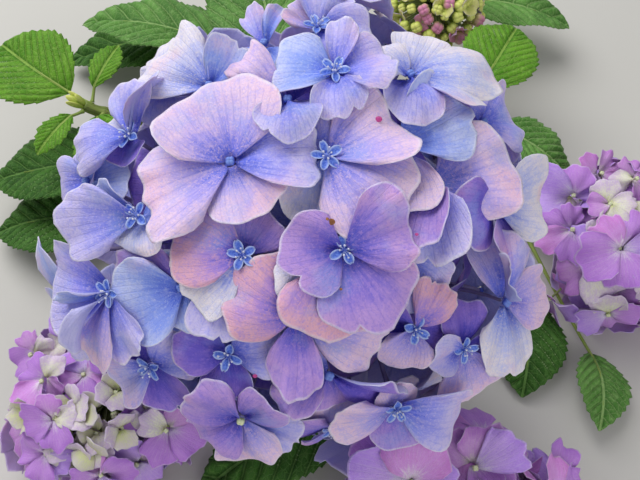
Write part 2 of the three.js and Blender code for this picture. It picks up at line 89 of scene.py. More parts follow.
# Placed florets of the large bloom: place across and up its face, rise off it, lean right and up,
# the kind of centre, and the sepals from the lowest to the top one. A sepal has the way that it
# points and its reach, both as seen from the front, a tone, its breadth as seen, and its lift. They
# are 1 and 0 where a row ends before them.
# Sepals that lie in shade take the darker violet tone of TONES, which is partly painted shade.
FACE_FLORETS = [
    (-16, 20, 5, 0.0, 0.1, "bead", [
        (302, 20, "pink", 1.3), (202, 31, "pink", 0.9), (7, 27, "lilac", 0.75, 6),
        (108, 27, "pink", 1.4)]),
    (13, 22, 4, 0.0, 0.0, "star", [
        (195, 16, "violet", 0.9, -10), (130, 20, "lilac"), (262, 23, "pale", 1.2),
        (318, 28, "pink", 1.1), (32, 26, "pink", 0.95, 5)]),
    (36, 27, 1, 0.1, 0.1, "bead", [
        (165, 17, "violet"), (255, 22, "pink", 1.25), (80, 12, "violet"), (30, 25, "blue", 1.0, 4)]),
    (18, -6, 6, 0.0, 0.0, "star", [
        (228, 25, "pale", 0.9, -12), (262, 28, "salmon", 1.0, -10), (302, 26, "dusk", 1.2),
        (24, 23, "dusk", 1.0, 4), (190, 20, "dusk", 1.35, 6)]),
    (2, 39, 6, -0.2, 0.1, "bead", [
        (190, 16, "lilac", 0.8, -5), (60, 18, "violet", 0.8), (137, 25, "pink", 0.5),
        (272, 14, "lilac", 1.55)]),
    (16, 48, 7, -0.1, 0.1, "star", [
        (280, 15, "lilac"), (10, 20, "lilac"), (78, 17, "lilac", 0.5, 8), (170, 20, "blue", 1.1)]),
    (10, 66, 6, 0.0, 0.1, "star", [
        (250, 9, "blue", 0.8), (140, 13, "pink"), (76, 15, "lilac", 0.9), (345, 19, "lilac", 1.3)]),
    (-8, 64, -3, -0.3, 0.0, "bead", [
        (300, 13, "blue", 0.8), (212, 13, "blue", 0.7), (112, 14, "lilac", 0.45, 8),
        (70, 16, "blue", 0.5, 8)]),
    (-24, 46, 1, -0.2, 0.1, "bead", [
        (255, 17, "pink"), (20, 16, "lilac"), (85, 14, "blue", 0.5, 30), (148, 22, "pale")]),
    (40, 50, 4, 0.1, 0.1, "bead", [
        (258, 17, "lilac"), (60, 18, "pale"), (140, 17, "pale", 1.2), (351, 28, "pale", 0.88)]),
    (68, 38, 0, 0.1, 0.0, "bead", [
        (100, 16, "lilac"), (290, 18, "lilac"), (200, 20, "violet"), (10, 18, "lilac", 1.1)]),
    (48, 15, 0, 0.1, 0.0, "bead", [
        (150, 17, "violet", 0.9), (21, 27, "pink", 1.15, 4), (290, 24, "lilac", 0.45, 35),
        (265, 24, "dusk", 0.5, 35)]),
    (71, 8, 0, 0.2, 0.0, "bead", [
        (200, 18, "violet"), (100, 16, "lilac"), (280, 18, "dusk"), (10, 20, "pale", 1.1)]),
    (38, -8, -2, 0.1, 0.0, "bead", [
        (150, 16, "violet", 1.0, -6), (45, 17, "violet", 1.1, -6), (220, 17, "dusk", 0.9),
        (300, 19, "lilac", 1.2, 4)]),
    (74, -24, 4, -0.1, 0.0, "bead", [
        (268, 26, "pale", 0.85), (10, 19, "pink", 1.1), (98, 25, "lilac", 0.8),
        (150, 15, "pale", 0.5, 30)]),
    (60, -40, 0, 0.0, 0.0, "star", [
        (90, 16, "violet"), (350, 14, "violet"), (283, 21, "pink"), (200, 13, "lilac", 1.3)]),
    (42, -32, -1, 0.0, 0.0, "star", [
        (350, 12, "violet", 0.9, -8), (165, 16, "violet", 0.9, -8), (247, 15, "pink", 1.2),
        (57, 18, "salmon", 0.85)]),
    (36, -58, 5, 0.0, -0.1, "star", [
        (80, 9, "pink", 1.6), (298, 15, "dusk", 1.3), (192, 23, "pink", 0.85, 4),
        (350, 27, "lilac", 0.85)]),
    (14, -46, 1, 0.0, 0.0, "bead", [
        (265, 13, "dusk", 1.1, -5), (165, 18, "lilac", 1.2), (225, 18, "dusk", 0.5, 24),
        (355, 24, "violet", 0.6, 12)]),
    (5, -26, 4, -0.1, 0.0, "bead", [
        (80, 12, "violet"), (335, 29, "pink", 0.7), (264, 25, "dusk", 0.7), (152, 23, "salmon", 1.3)]),
    (-12, -8, 3, -0.1, 0.1, "star", [
        (256, 27, "lilac", 0.75, -6), (212, 22, "pale", 1.0, -16), (62, 16, "dusk", 1.1),
        (165, 23, "salmon", 1.15)]),
    (-18, -40, -1, -0.1, 0.0, "star", [
        (270, 15, "violet"), (100, 16, "violet"), (20, 18, "lilac"), (163, 18, "violet", 1.1)]),
    (-15, -62, 3, 0.0, -0.1, "green", [
        (335, 21, "lilac", 0.7, -10), (285, 19, "pink", 1.0, -6), (35, 16, "dusk"), (215, 19, "dusk"),
        (148, 21, "dusk", 1.0, 4)]),
    (-45, 4, 4, -0.1, 0.1, "star", [
        (262, 13, "pale", 1.6), (12, 13, "blue"), (130, 15, "blue", 0.7, 25), (186, 26, "lilac", 0.8)]),
    (-66, 16, 1, -0.1, 0.1, "bead", [
        (280, 16, "pink"), (10, 15, "blue"), (100, 14, "blue"), (190, 18, "lilac", 1.1)]),
    (-56, -20, 3, -0.2, 0.0, "star", [
        (295, 22, "lilac", 0.6), (235, 26, "pink", 0.8), (172, 25, "lilac", 1.1),
        (262, 20, "blue", 0.45, 30), (138, 15, "blue", 0.45, 35)]),
    (-32, -18, 0, -0.1, 0.0, "bead", [
        (60, 14, "violet"), (290, 15, "blue"), (150, 22, "dusk", 0.9), (197, 23, "blue", 1.2)]),
    (-46, -46, -2, -0.1, -0.1, "star", [
        (120, 17, "violet"), (300, 18, "violet"), (30, 18, "lilac", 0.9), (205, 18, "lilac", 0.9)]),
    (-50, 30, 2, -0.1, 0.1, "star", [
        (262, 11, "violet", 1.4), (165, 14, "pale", 0.9), (88, 19, "lilac", 0.8),
        (195, 21, "lilac", 0.8), (35, 19, "blue", 0.5, 35)]),
    (-40, 50, 0, -0.2, 0.1, "bead", [
        (270, 14, "lilac"), (0, 16, "lilac"), (90, 16, "pale"), (180, 16, "pale")]),
]

# Florets placed on the younger blooms: place across, up and off the large bloom's face, lean right
# and up, and sepals as above, with the younger tones
FRONT_FLORETS = [
    (45, -93, 18, 0.0, 0.1, [
        (128, 24, "mauve", 1.2, -4), (250, 20, "lilac", 1.1), (352, 18, "lilac"),
        (172, 23, "lilac", 1.1), (76, 19, "pink", 1.35, 4)]),
    (71, -91, 4, 0.1, 0.1, [
        (128, 15, "blush", 1.2, 4), (8, 19, "mauve", 0.8), (292, 16, "mauve", 1.1, 4),
        (70, 17, "blush", 1.3), (36, 20, "lilac", 0.75, 6)]),
    (93, -103, -14, 0.2, 0.0, [
        (200, 14, "pink"), (100, 14, "lilac"), (10, 14, "pink")]),
    (109, -102, -20, 0.3, 0.0, [
        (60, 15, "mauve"), (150, 14, "lilac"), (250, 14, "pink"), (340, 14, "mauve")]),
]

LEFT_FLORETS = [
    (-101, -48, -40, 0.0, 0.1, [
        (15, 15, "lilac"), (300, 14, "blush"), (205, 11, "cream"), (110, 13, "lilac")]),
    (-107, -63, -27, -0.2, 0.1, [
        (150, 13, "mauve", 1.1), (60, 11, "cream"), (330, 11, "blush"), (240, 13, "pink", 1.1)]),
    (-117, -54, -42, -0.3, 0.2, [
        (120, 11, "blush"), (30, 11, "cream"), (210, 13, "mauve"), (300, 12, "pink")]),
    (-99, -77, -20, -0.1, 0.0, [
        (100, 11, "blush"), (190, 14, "mauve", 1.1), (10, 10, "cream"), (280, 13, "mauve", 1.1)]),
    (-104, -93, -25, -0.2, -0.1, [
        (170, 15, "mauve"), (80, 12, "blush"), (350, 13, "lilac", 1.1), (260, 14, "mauve")]),
    (-81, -102, -24, 0.0, -0.1, [
        (200, 14, "mauve"), (110, 13, "pink"), (20, 14, "mauve"), (290, 14, "lilac")]),
    (-55, -85, -31, 0.2, 0.0, [
        (250, 16, "mauve"), (330, 18, "mauve"), (60, 12, "blush"), (150, 12, "cream")]),
]
RIGHT_FLORETS = [
    (151, 30, -84, 0.0, 0.2, [
        (138, 12, "pink", 0.9), (45, 14, "blush", 0.9), (240, 12, "mauve"), (330, 12, "pink")]),
    (166, 27, -78, 0.1, 0.1, [
        (100, 11, "blush"), (10, 12, "pink"), (280, 12, "blush"), (190, 11, "cream")]),
    (137, 19, -84, -0.1, 0.1, [
        (262, 10, "cream"), (15, 12, "lilac", 0.8, 4), (82, 15, "mauve", 1.0, 4),
        (172, 22, "lilac", 1.2)]),
    (134, 2, -76, -0.1, 0.0, [
        (155, 15, "mauve", 0.9), (80, 13, "mauve", 0.9), (350, 12, "mauve", 0.9),
        (205, 17, "pink", 0.8), (262, 17, "mauve", 0.8)]),
    (149, 14, -67, 0.0, 0.1, [
        (95, 12, "cream", 1.2), (0, 11, "cream"), (180, 11, "blush"), (270, 13, "cream", 1.1)]),
    (152, -7, -63, 0.0, 0.0, [
        (70, 20, "mauve", 1.1), (345, 20, "lilac", 1.1), (275, 19, "mauve", 1.1),
        (130, 18, "pink", 0.9), (198, 22, "mauve", 1.0, 4)]),
]

# Younger blooms and limbs, as in the part's source
YOUNG_BLOOMS = {
    "bloom_front_left": dict(
        centre=(-88, -42, 33.5), half=(38, 27, 21), stem=(0.1, 0.94, -0.33),
        tilt=52, turn=-8, dealt=25, outer=16, inner=8, seed=21, seen=LEFT_FLORETS),
    "bloom_front_right": dict(
        centre=(69, -95, 36.7), half=(42, 29, 22), stem=(0.0, 0.94, -0.33),
        tilt=50, turn=6, dealt=25, outer=18, inner=9, seed=22, seen=FRONT_FLORETS),
    "bloom_right": dict(
        centre=(165, 46, 34.3), half=(40, 29, 22), stem=(-0.8, 0.5, -0.33),
        tilt=56, turn=10, dealt=25, outer=17, inner=8, seed=23, seen=RIGHT_FLORETS),
    "bloom_in_bud": dict(
        centre=(80, 202, 58), half=(22, 17, 12), stem=(-0.35, 0.35, -0.87),
        tilt=66, turn=0, seed=24),
}
SHOOTS = {
    "shoot_front_left": dict(start=0.60, toward=(-52, 108, 14), bloom="bloom_front_left"),
    "shoot_front_right": dict(start=0.60, toward=(46, 92, 14), bloom="bloom_front_right"),
    "shoot_right": dict(start=0.78, toward=(66, 165, 12), bloom="bloom_right"),
    "shoot_bud": dict(start=0.90, toward=(36, 240, 14), bloom="bloom_in_bud"),
    "shoot_left_tip": dict(start=0.42, toward=(-40, 128, 40), last=((-92, 112, 46), (-114, 113, 66))),
    "shoot_right_tip": dict(start=0.42, toward=(36, 128, 40), last=((74, 120, 40), (94, 122, 50))),
}
TIP_BUD = 11  # length of the pointed buds that end the leafy tips

# Leaves: limb, share along it, the blade's base and tip, width, roll, bow, and its age
LEAVES = {
    "leaf_left_tip_large": (
        "shoot_left_tip", 0.88, (-123, 122, 66), (-164, 152, 72), 48, -12, 0.08, "young"),
    "leaf_left_tip_long": ("shoot_left_tip", 0.88, (-106, 106, 66), (-92, 66, 58), 32, 10, 0.10, "young"),
    "leaf_left_tip_small_up": (
        "shoot_left_tip", 0.96, (-109, 121, 71), (-97, 145, 78), 17, 0, 0.10, "young"),
    "leaf_left_tip_small_down": (
        "shoot_left_tip", 0.96, (-118, 104, 69), (-134, 82, 63), 17, 0, 0.10, "young"),
    "leaf_left_dark": ("shoot_left_tip", 0.60, (-98, 100, 38), (-172, 92, 26), 54, 8, 0.08, "old"),
    "leaf_left_low": ("shoot_front_left", 0.50, (-102, 70, 16), (-170, 68, 10), 52, 6, 0.10, "old"),
    "leaf_back_left": ("cane", 0.62, (-42, 178, 40), (-134, 198, 44), 52, 10, 0.09, "full"),
    "leaf_back_left_low": ("cane", 0.84, (-48, 220, 20), (-152, 200, 8), 62, 6, 0.08, "old"),
    "leaf_back_upright": ("cane", 0.42, (-8, 130, 68), (-28, 222, 74), 66, 4, 0.10, "full"),
    "leaf_back_right": ("shoot_bud", 0.55, (88, 232, 30), (172, 216, 24), 50, -6, 0.09, "full"),
    "leaf_right_tip_round": ("shoot_right_tip", 0.88, (99, 134, 54), (126, 180, 58), 44, 6, 0.10, "young"),
    "leaf_right_tip_side": ("shoot_right_tip", 0.90, (102, 112, 52), (146, 84, 40), 34, -8, 0.10, "full"),
    "leaf_right_tip_small": ("shoot_right_tip", 0.78, (84, 134, 53), (76, 164, 56), 22, 0, 0.10, "full"),
    "leaf_right_low": ("shoot_right", 0.77, (123, 28, 6), (113, -26, 4), 38, 4, 0.05, "old"),
    "leaf_right_low_tip": ("shoot_right", 0.90, (152, -2, 4.5), (146, -46, 12), 28, -10, 0.12, "full"),
    "leaf_front_low": ("shoot_front_right", 0.72, (44, -18, 9), (-46, -74, 5), 50, 0, 0.08, "old"),
}


# Vectors and frames

ACROSS = (0.2, 0.9, 0.3)  # a direction that hardly any floret faces
FULL_TURN = 6.3  # radians, a little over a turn, for phases
DRAW_FACTOR, DRAW_STEP, DRAW_RANGE = 1664525, 1013904223, 2 ** 32  # as in the part's source


def unit(v):
    v = np.asarray(v, float)
    return v / np.linalg.norm(v)


def mix(a, b, share):
    return a + (b - a) * share


def smooth(low, high, x):
    t = np.clip((x - low) / (high - low), 0, 1)
    return t * t * (3 - 2 * t)


def waved(x, height, waves, phase):
    return height * np.sin(waves * x + phase)


def bump(x, width):
    """1 at nothing, falling off smoothly on both sides."""
    return np.exp(-(x / width) ** 2)


def angle_between(a, b):
    return math.degrees(math.acos(np.clip(unit(a) @ unit(b), -1, 1)))


def sides_of(way):
    """Two directions that are square to a way and to each other."""
    side = unit(np.cross(way, ACROSS))
    return side, np.cross(way, side)


def round_way(side, other, angle):
    return math.cos(angle) * side + math.sin(angle) * other


def curve_point(a, b, c, t):
    return (1 - t) ** 2 * a + 2 * t * (1 - t) * b + t * t * c


def turned(axis, degrees):
    """A rotation about one of the frame's axes, as a 3 by 3 matrix whose columns are the axes."""
    a = math.radians(degrees)
    c, s = math.cos(a), math.sin(a)
    i, j = {"x": (1, 2), "y": (2, 0), "z": (0, 1)}[axis]
    m = np.eye(3)
    m[i, i], m[i, j], m[j, i], m[j, j] = c, -s, s, c
    return m


class Frame:
    """Axes and a place: to() takes points from it to the modelling frame."""

    def __init__(self, axes, place):
        self.axes = np.asarray(axes, float)
        self.place = np.asarray(place, float)

    def to(self, points):
        return np.asarray(points, float) @ self.axes.T + self.place

    def inside(self, direction):
        return np.asarray(direction, float) @ self.axes


class Draws:
    """The part's seeded draws, from 0 to 1 or between two values."""

    def __init__(self, seed):
        self.state = seed

    def __call__(self, low=0.0, high=1.0):
        self.state = (self.state * DRAW_FACTOR + DRAW_STEP) % DRAW_RANGE
        return mix(low, high, self.state / DRAW_RANGE)


# Meshes from grids of points

REST_HEIGHT = 5.0  # soft parts lower than this are pressed flat by the floor
MAP_MARGIN = 0.03  # round each surface's cell of the bake map
SHELL_EDGE = 0.4  # of a sheet's thickness, at its edge
SIDE_MAP = (0.48, 0.92)  # room in a cell for a sheet's upper side
UNDER_MAP = (0.52, 0)  # where its lower side starts
RIM_MAP = (0.95, 1.0)  # and its rim, along the top
CAP_MAP = 0.08  # radius of a limb's end faces in its cell
CAP_PLACES = ((0.25, 0.91), (0.75, 0.91))
LIMB_MAP = (1, 0.8)


class Pile:
    """Gathers surfaces, each with its own cell of the bake map, and makes one piece of them."""

    def __init__(self):
        self.points, self.coords = [], []
        self.faces, self.maps, self.looks, self.cells = [], [], [], []
        self.count = 0

    def add(self, points, coords, groups):
        """coords is a pattern place for each point. A group is faces, their corners' map and a look."""
        points = points.reshape(-1, 3)
        cell = self.cells[-1] + 1 if self.cells else 0
        for faces, corners, look in groups:
            self.faces.append(faces + self.count)
            self.maps.append(corners)
            self.looks.append(look)
            self.cells.append(cell)
        self.points.append(points)
        self.coords.append(coords.reshape(-1, 3))
        self.count += len(points)

    def make(self, name, slot, replaces, rests=False):
        """One piece in place of a node's solid. One that rests doesn't dip below the floor."""
        names = sorted(set(self.looks))
        across = math.ceil(math.sqrt(self.cells[-1] + 1))
        corners, starts, indices, maps, total = [], [], [], [], 0
        for faces, corner_map, look, cell in zip(self.faces, self.maps, self.looks, self.cells):
            count, sides = faces.shape
            corners.append(faces.ravel())
            starts.append(total + sides * np.arange(count))
            indices.append(np.full(count, names.index(look)))
            place = np.array([cell % across, cell // across])
            inner = MAP_MARGIN + (1 - 2 * MAP_MARGIN) * corner_map.reshape(-1, 2)
            maps.append((place + inner) / across)
            total += count * sides
        points = np.concatenate(self.points)
        if rests:
            low = np.minimum(points[:, 2], REST_HEIGHT)
            points[:, 2] += REST_HEIGHT * np.exp((low - REST_HEIGHT) / REST_HEIGHT) - low
        mesh = bpy.data.meshes.new(name)

        def fill(target, key, arrays, kind=np.float32):
            target.foreach_set(key, np.concatenate(arrays).astype(kind).ravel())

        mesh.vertices.add(len(points))
        fill(mesh.vertices, "co", [(points - ORIGIN) * MM])
        mesh.loops.add(total)
        fill(mesh.loops, "vertex_index", corners, np.int32)
        mesh.polygons.add(sum(len(part) for part in starts))
        fill(mesh.polygons, "loop_start", starts, np.int32)
        fill(mesh.polygons, "material_index", indices, np.int32)
        fill(mesh.uv_layers.new(name="OFBake").uv, "vector", maps)
        fill(mesh.attributes.new("spot", "FLOAT_VECTOR", "POINT").data, "vector", self.coords)
        mesh.update(calc_edges=True)
        mesh.shade_smooth()
        for look in names:
            mesh.materials.append(LOOKS[look])
        piece = bpy.data.objects.new(name, mesh)
        bpy.context.scene.collection.objects.link(piece)
        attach(piece, "root")
        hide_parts(replaces)


def grid_faces(rows, cols, wrap=False):
    """Quads of a grid of points, and the same corners' places in a unit map."""
    across = cols if wrap else cols - 1
    i, j = np.meshgrid(np.arange(rows - 1), np.arange(across), indexing="ij")
    i, j = i.ravel(), j.ravel()
    rows_of = np.stack([i, i, i + 1, i + 1], 1)
    cols_of = np.stack([j, j + 1, j + 1, j], 1)
    maps = np.stack([cols_of / across, rows_of / (rows - 1)], 2)
    return rows_of * cols + cols_of % cols, maps


def grid_normals(points):
    normals = np.cross(np.gradient(points, axis=0), np.gradient(points, axis=1))
    return normals / np.maximum(np.linalg.norm(normals, axis=2, keepdims=True), 1e-9)


def shell(pile, points, thickness, looks, coords):
    """A thin closed sheet whose upper side is a grid of points. looks are its upper and lower side's."""
    rows, cols = points.shape[:2]
    share = np.ones((rows, cols, 1))
    share[0], share[-1], share[:, 0], share[:, -1] = [SHELL_EDGE] * 4
    lower = points - grid_normals(points) * thickness * share
    top, top_map = grid_faces(rows, cols)
    index = np.arange(rows * cols).reshape(rows, cols)
    ring = np.concatenate([index[0], index[1:, -1], index[-1, -2::-1], index[-2:0:-1, 0]])
    after = np.roll(ring, -1)
    rim = np.stack([ring, after, after + rows * cols, ring + rows * cols], 1)
    near = np.arange(len(ring)) / len(ring)
    far = near + 1 / len(ring)
    low, high = (np.full_like(near, level) for level in RIM_MAP)
    rim_map = np.stack([np.stack(c, 1) for c in ((near, high), (far, high), (far, low), (near, low))], 1)
    upper_map = top_map * SIDE_MAP
    pile.add(np.stack([points, lower]), np.stack([coords, coords]), [
        (top[:, ::-1], upper_map[:, ::-1], looks[0]),
        (top + rows * cols, upper_map + UNDER_MAP, looks[1]),
        (rim, rim_map, looks[1]),
    ])


def capped(rings, sides, look):
    """Groups of faces for rings of points with a flat face at each end."""
    faces, maps = grid_faces(rings, sides, wrap=True)
    angle = 2 * np.pi * np.arange(sides) / sides
    circle = CAP_MAP * np.stack([np.cos(angle), np.sin(angle)], 1)
    first = np.arange(sides)[None]
    last = first + (rings - 1) * sides
    return [
        (faces[:, ::-1], maps[:, ::-1] * LIMB_MAP, look),
        (first, (circle + CAP_PLACES[0])[None], look),
        (last[:, ::-1], (circle[::-1] + CAP_PLACES[1])[None], look),
    ]


def tube(pile, path, radii, look, sides=8, relief=None, seed=0.0):
    """A round limb along a path, with a radius at each point. relief gives what angle and way add."""
    path, radii = np.asarray(path, float), np.asarray(radii, float)
    ways = np.gradient(path, axis=0)
    ways /= np.linalg.norm(ways, axis=1, keepdims=True)
    far = np.concatenate([[0], np.cumsum(np.linalg.norm(np.diff(path, axis=0), axis=1))])
    angle = 2 * np.pi * np.arange(sides) / sides
    side = unit(np.cross(ways[0], (0.3, 0.2, 0.9)))
    rings = []
    for centre, way, radius, length in zip(path, ways, radii, far):
        side = unit(side - way * (side @ way))
        other = np.cross(side, way)
        reach = np.broadcast_to(radius + (relief(angle, length) if relief else 0), sides)[:, None]
        rings.append(centre + reach * (np.cos(angle)[:, None] * side + np.sin(angle)[:, None] * other))
    coords = np.stack([
        np.repeat(far[:, None], sides, 1), radii[:, None] * angle, np.full((len(path), sides), seed)], 2)
    pile.add(np.array(rings), coords, capped(len(path), sides, look))


def bent_tube(pile, frame_of, ends, radii, count, look, sides, seed=0.0):
    """A thin limb along a curve from the first to the last of three points of a frame."""
    path = [frame_of.to(curve_point(*ends, t)) for t in np.linspace(0, 1, count)]
    tube(pile, path, np.linspace(*radii, count), look, sides=sides, seed=seed)


def neck(pile, frame_of, reach, shares, radii, look, seed=0.0):
    """The end of a bloom's stem, inside it, through points that are shares of a reach."""
    tube(pile, [frame_of.to(reach * t) for t in shares], radii, look, sides=12, seed=seed)


def bead(pile, centre, axes, look, seed=0.0, rings=6, sides=8):
    """A closed rounded bead. The columns of axes are its half sizes, the last one its length."""
    share = np.linspace(0.07, 0.93, rings)
    angle = -2 * np.pi * np.arange(sides) / sides
    flat = np.sin(np.pi * share)
    local = np.stack([np.outer(flat, np.cos(angle)), np.outer(flat, np.sin(angle)),
                      np.repeat(-np.cos(np.pi * share)[:, None], sides, 1)], 2)
    coords = np.stack([np.repeat(share[:, None], sides, 1), np.tile(angle, (rings, 1)),
                       np.full((rings, sides), seed)], 2)
    pile.add(local @ np.asarray(axes, float).T + centre, coords, capped(rings, sides, look))


# Sepals

SEPAL_THICK = 0.34
HALF_ANGLE = 51  # of a sepal as broad as it is long
WIDEST = 1.6  # breadth that the angle follows no further
SEPAL_RISE = 18  # of a sepal's claw off the floret's plane
CLAW = 0.05  # where the sepal starts, as a share of its reach
CLAW_CURVE = 0.03
ROW_POWER = 1.35  # crowds the rows of points towards the edge
ARC_REACH = 1.25  # the farthest that a sepal's bend is worked out to, in reaches
YOUNG_FRILL = 0.05
POINT_WIDTH = 0.13
NOTCH_DEPTH, NOTCH_WIDTH = 0.10, 0.05
GROOVE_DEPTH, GROOVES = 0.005, 21

# Least and most of what each sepal draws: its curl is in degrees, and heights are shares of its reach
CURL = (-62, -12)
CUP = (-0.10, 0.24)
TILT = (-0.16, 0.16)
FOLD = (0.0, 0.10)
RUFFLE = (0.03, 0.085)
WAVES = (3.5, 7.5)
EDGE_ROLL = (-0.14, 0.06)
POINT = (0.0, 0.09)
SQUARENESS = (3.2, 6.0)  # a high power keeps the outline full to its sides
OUTLINE_DROP = (0.34, 0.52)  # how much shorter a sepal is at its sides than along its middle
SKEW = (-0.09, 0.09)


def arc(x, slope, curl):
    """How far forward and up a line is after x along it, as it bends evenly from its first slope."""
    steps = np.linspace(0, ARC_REACH, 51)
    turn = np.radians(slope + curl * steps)
    step = steps[1]
    gone = [np.cumsum(part(turn)) * step - part(turn[0]) * step for part in (np.cos, np.sin)]
    return [np.interp(x, steps, way) for way in gone]


def sepal(pile, centre, way, out, reach, look, draw, size, breadth, lift, layer, notch, drape):
    """One broad sepal that rises from a narrow claw, arches over and ends in a ruffled edge."""
    rows, cols = size
    way, out = unit(way), unit(out)
    cross = np.cross(out, way)
    curl, cup, tilt, fold = draw(*CURL), draw(*CUP), draw(*TILT), draw(*FOLD)
    ruffle, waves, phase = draw(*RUFFLE), draw(*WAVES), draw(0, FULL_TURN)
    roll, point = draw(*EDGE_ROLL), draw(*POINT)
    power, drop = draw(*SQUARENESS), draw(*OUTLINE_DROP)
    wobble, skew = draw(0, FULL_TURN), draw(*SKEW)
    seed = draw(0, 40)
    young = look.startswith("young")
    frill = YOUNG_FRILL if young else 0.0
    across = np.linspace(-1, 1, cols)[None, :]
    side = np.abs(across)
    rise = (1 - (1 - np.linspace(0, 1, rows)) ** ROW_POWER)[:, None]
    # the outline, as a reach for each direction
    outline = 1 - drop * side ** power
    outline = outline * (1 + skew * across + waved(across, 0.045, 3.1, wobble))
    outline = outline * (1 + waved(across, 0.028, 6.7, 2 * wobble) + waved(across, 0.014, 17, 3 * wobble))
    outline = outline + point * bump(across, POINT_WIDTH) + waved(across, frill, 11, wobble + phase)
    if notch is not None:
        outline = outline - NOTCH_DEPTH * bump(across - notch, NOTCH_WIDTH)
    start = CLAW + CLAW_CURVE * side
    far = start + (outline - start) * rise
    angle = across * math.radians(HALF_ANGLE * min(breadth, WIDEST))
    x, y = far * np.cos(angle), far * np.sin(angle)
    # what lies above the arc along its middle
    wave = waved(across, ruffle, waves, phase) * rise ** 2
    wave = wave + waved(across, 0.35 * ruffle, 2.7 * waves, 2 * phase) * rise ** 5
    wave = wave + waved(across, 1.2 * frill, 9, wobble) * rise ** 4
    grooves = GROOVE_DEPTH * np.cos(GROOVES * across) * rise * (1.2 - rise)
    high = cup * y ** 2 * 2 + tilt * y + fold * np.abs(y) + wave + grooves + layer * rise
    high = high + roll * rise ** 4 * side ** 0.5
    slope = lift + SEPAL_RISE
    bend = np.radians(slope + curl * x)
    forward, upward = arc(x, slope, curl)
    points = (forward - high * np.sin(bend))[..., None] * way + y[..., None] * cross
    points = centre + reach * (points + (upward + high * np.cos(bend))[..., None] * out)
    if drape:
        points = drape.settle(points, rise)
    spread = np.repeat(across * breadth, rows, 0)
    coords = np.stack([np.repeat(rise, cols, 1), spread, np.full_like(x, seed)], 2)
    shell(pile, points, SEPAL_THICK, (look, "under_young" if young else "under"), coords)


DRAPE_REACH, DRAPE_CELL = 130.0, 1.2  # of the map of heights, to each side, and its fineness
DRAPE_GAP = 0.6
DRAPE_DEPTH = 8.0  # sepals that pass deeper than this under others stay there
DRAPE_CLAW = (0.08, 0.3)  # from here on along a sepal it is lifted
DRAPE_WIDENED, DRAPE_SOFTENED = 3, 7  # steps that widen, then soften, the lift
EYE_SUNK = 0.4  # how deep eyes and marks sit in what lies there
EYE_LIFT = 5.0  # the most that an eye is lifted
NOTHING = -1e9  # height where nothing lies yet


def neighbours(grid):
    """The grid, moved by one to each side and corner, and as it is."""
    wide = np.pad(grid, 1, mode="edge")
    rows, cols = grid.shape
    return [wide[a:a + rows, b:b + cols] for a in range(3) for b in range(3)]


class Drape:
    """Heights of what lies on a bloom, seen from the front: each new sepal comes to lie over them."""

    def __init__(self, frame_of):
        self.frame = frame_of
        self.heights = np.full((int(2 * DRAPE_REACH / DRAPE_CELL) + 4,) * 2, NOTHING)

    def settle(self, points, rise):
        local = (points - self.frame.place) @ self.frame.axes
        i, j = (np.clip((local[..., k] + DRAPE_REACH) / DRAPE_CELL, 2, len(self.heights) - 3).astype(int)
                for k in (0, 1))
        under = self.heights[i, j] + DRAPE_GAP - local[..., 2]
        need = np.where((under > 0) & (under < DRAPE_DEPTH), under, 0) * smooth(*DRAPE_CLAW, rise)
        for _ in range(DRAPE_WIDENED):
            need = np.maximum.reduce(neighbours(need))
        for _ in range(DRAPE_SOFTENED):
            need = sum(neighbours(need)) / 9
        local[..., 2] += need
        for a in (-1, 0, 1):
            for b in (-1, 0, 1):
                np.maximum.at(self.heights, (i + a, j + b), local[..., 2])
        return self.frame.to(local)

    def over(self, point, most=EYE_LIFT):
        """The point, lifted to lie on what has settled there, but no higher than the most."""
        local = (point - self.frame.place) @ self.frame.axes
        i, j = ((local[:2] + DRAPE_REACH) / DRAPE_CELL).astype(int)
        local[2] += min(max(self.heights[i, j] - local[2] - EYE_SUNK, 0), most)
        return self.frame.to(local)


# The middles of florets, and whole florets

STAR_PETAL = ((3.7, 4.3), (2.5, 3.0))  # lengths and widths
STAR_REACH = (2.6, 4.4)  # of its stamens
ANTHER = (0.32, 0.44)
FILAMENT_RADII = (0.16, 0.14, 0.13)
PETAL_GRID = (6, 7)
PETAL_THICK = 0.3
BUTTON_RADIUS = (1.25, 1.6)
SMALL_BUTTON = 0.85  # buttons smaller than this have fewer faces
TWISTED = 0.72  # sepals that look narrower than this and lift more than STANDING are edge on
STANDING = 10
NOTCHED = 0.22  # share of sepals with a notch in their edge
LAYER = 0.02  # of a sepal's reach, from each sepal to the next
EYES = {"bead": "bud", "green": "bud_green", "young": "bud_green"}


def star(pile, centre, out, draw):
    """An open flower: spoon-shaped blue petals, stamens with pale anthers and a domed middle."""
    out = unit(out)
    side, other = sides_of(out)
    seed = draw(0, 20)
    start = draw(0, 90)
    petals = 5 if draw() > 0.5 else 4
    for k in range(petals):
        way = round_way(side, other, math.radians(start + 360 * k / petals + draw(-9, 9)))
        length, width = draw(*STAR_PETAL[0]), draw(*STAR_PETAL[1])
        petal_cup(pile, centre + way * 0.9 + out * 1.2, way, out, length, width, seed)
    stamens = petals + int(draw(1, 4))
    for k in range(stamens):
        flat = round_way(side, other, math.radians(start + 360 * k / stamens + 30 + draw(-16, 16)))
        way = unit(0.55 * flat + out * draw(0.6, 1.3))
        far = draw(*STAR_REACH)
        tip = centre + out + way * far
        path = [centre + out * 0.8, centre + out + way * far * 0.55, tip]
        tube(pile, path, FILAMENT_RADII, "filament", sides=5, seed=seed)
        bead(pile, tip, np.stack([side, other, out], 1) * draw(*ANTHER), "anther", seed, rings=5, sides=6)
    dome = np.stack([side * 1.2, other * 1.2, out * 1.3], 1)
    bead(pile, centre + out * 0.9, dome, "eye", seed, rings=6, sides=10)


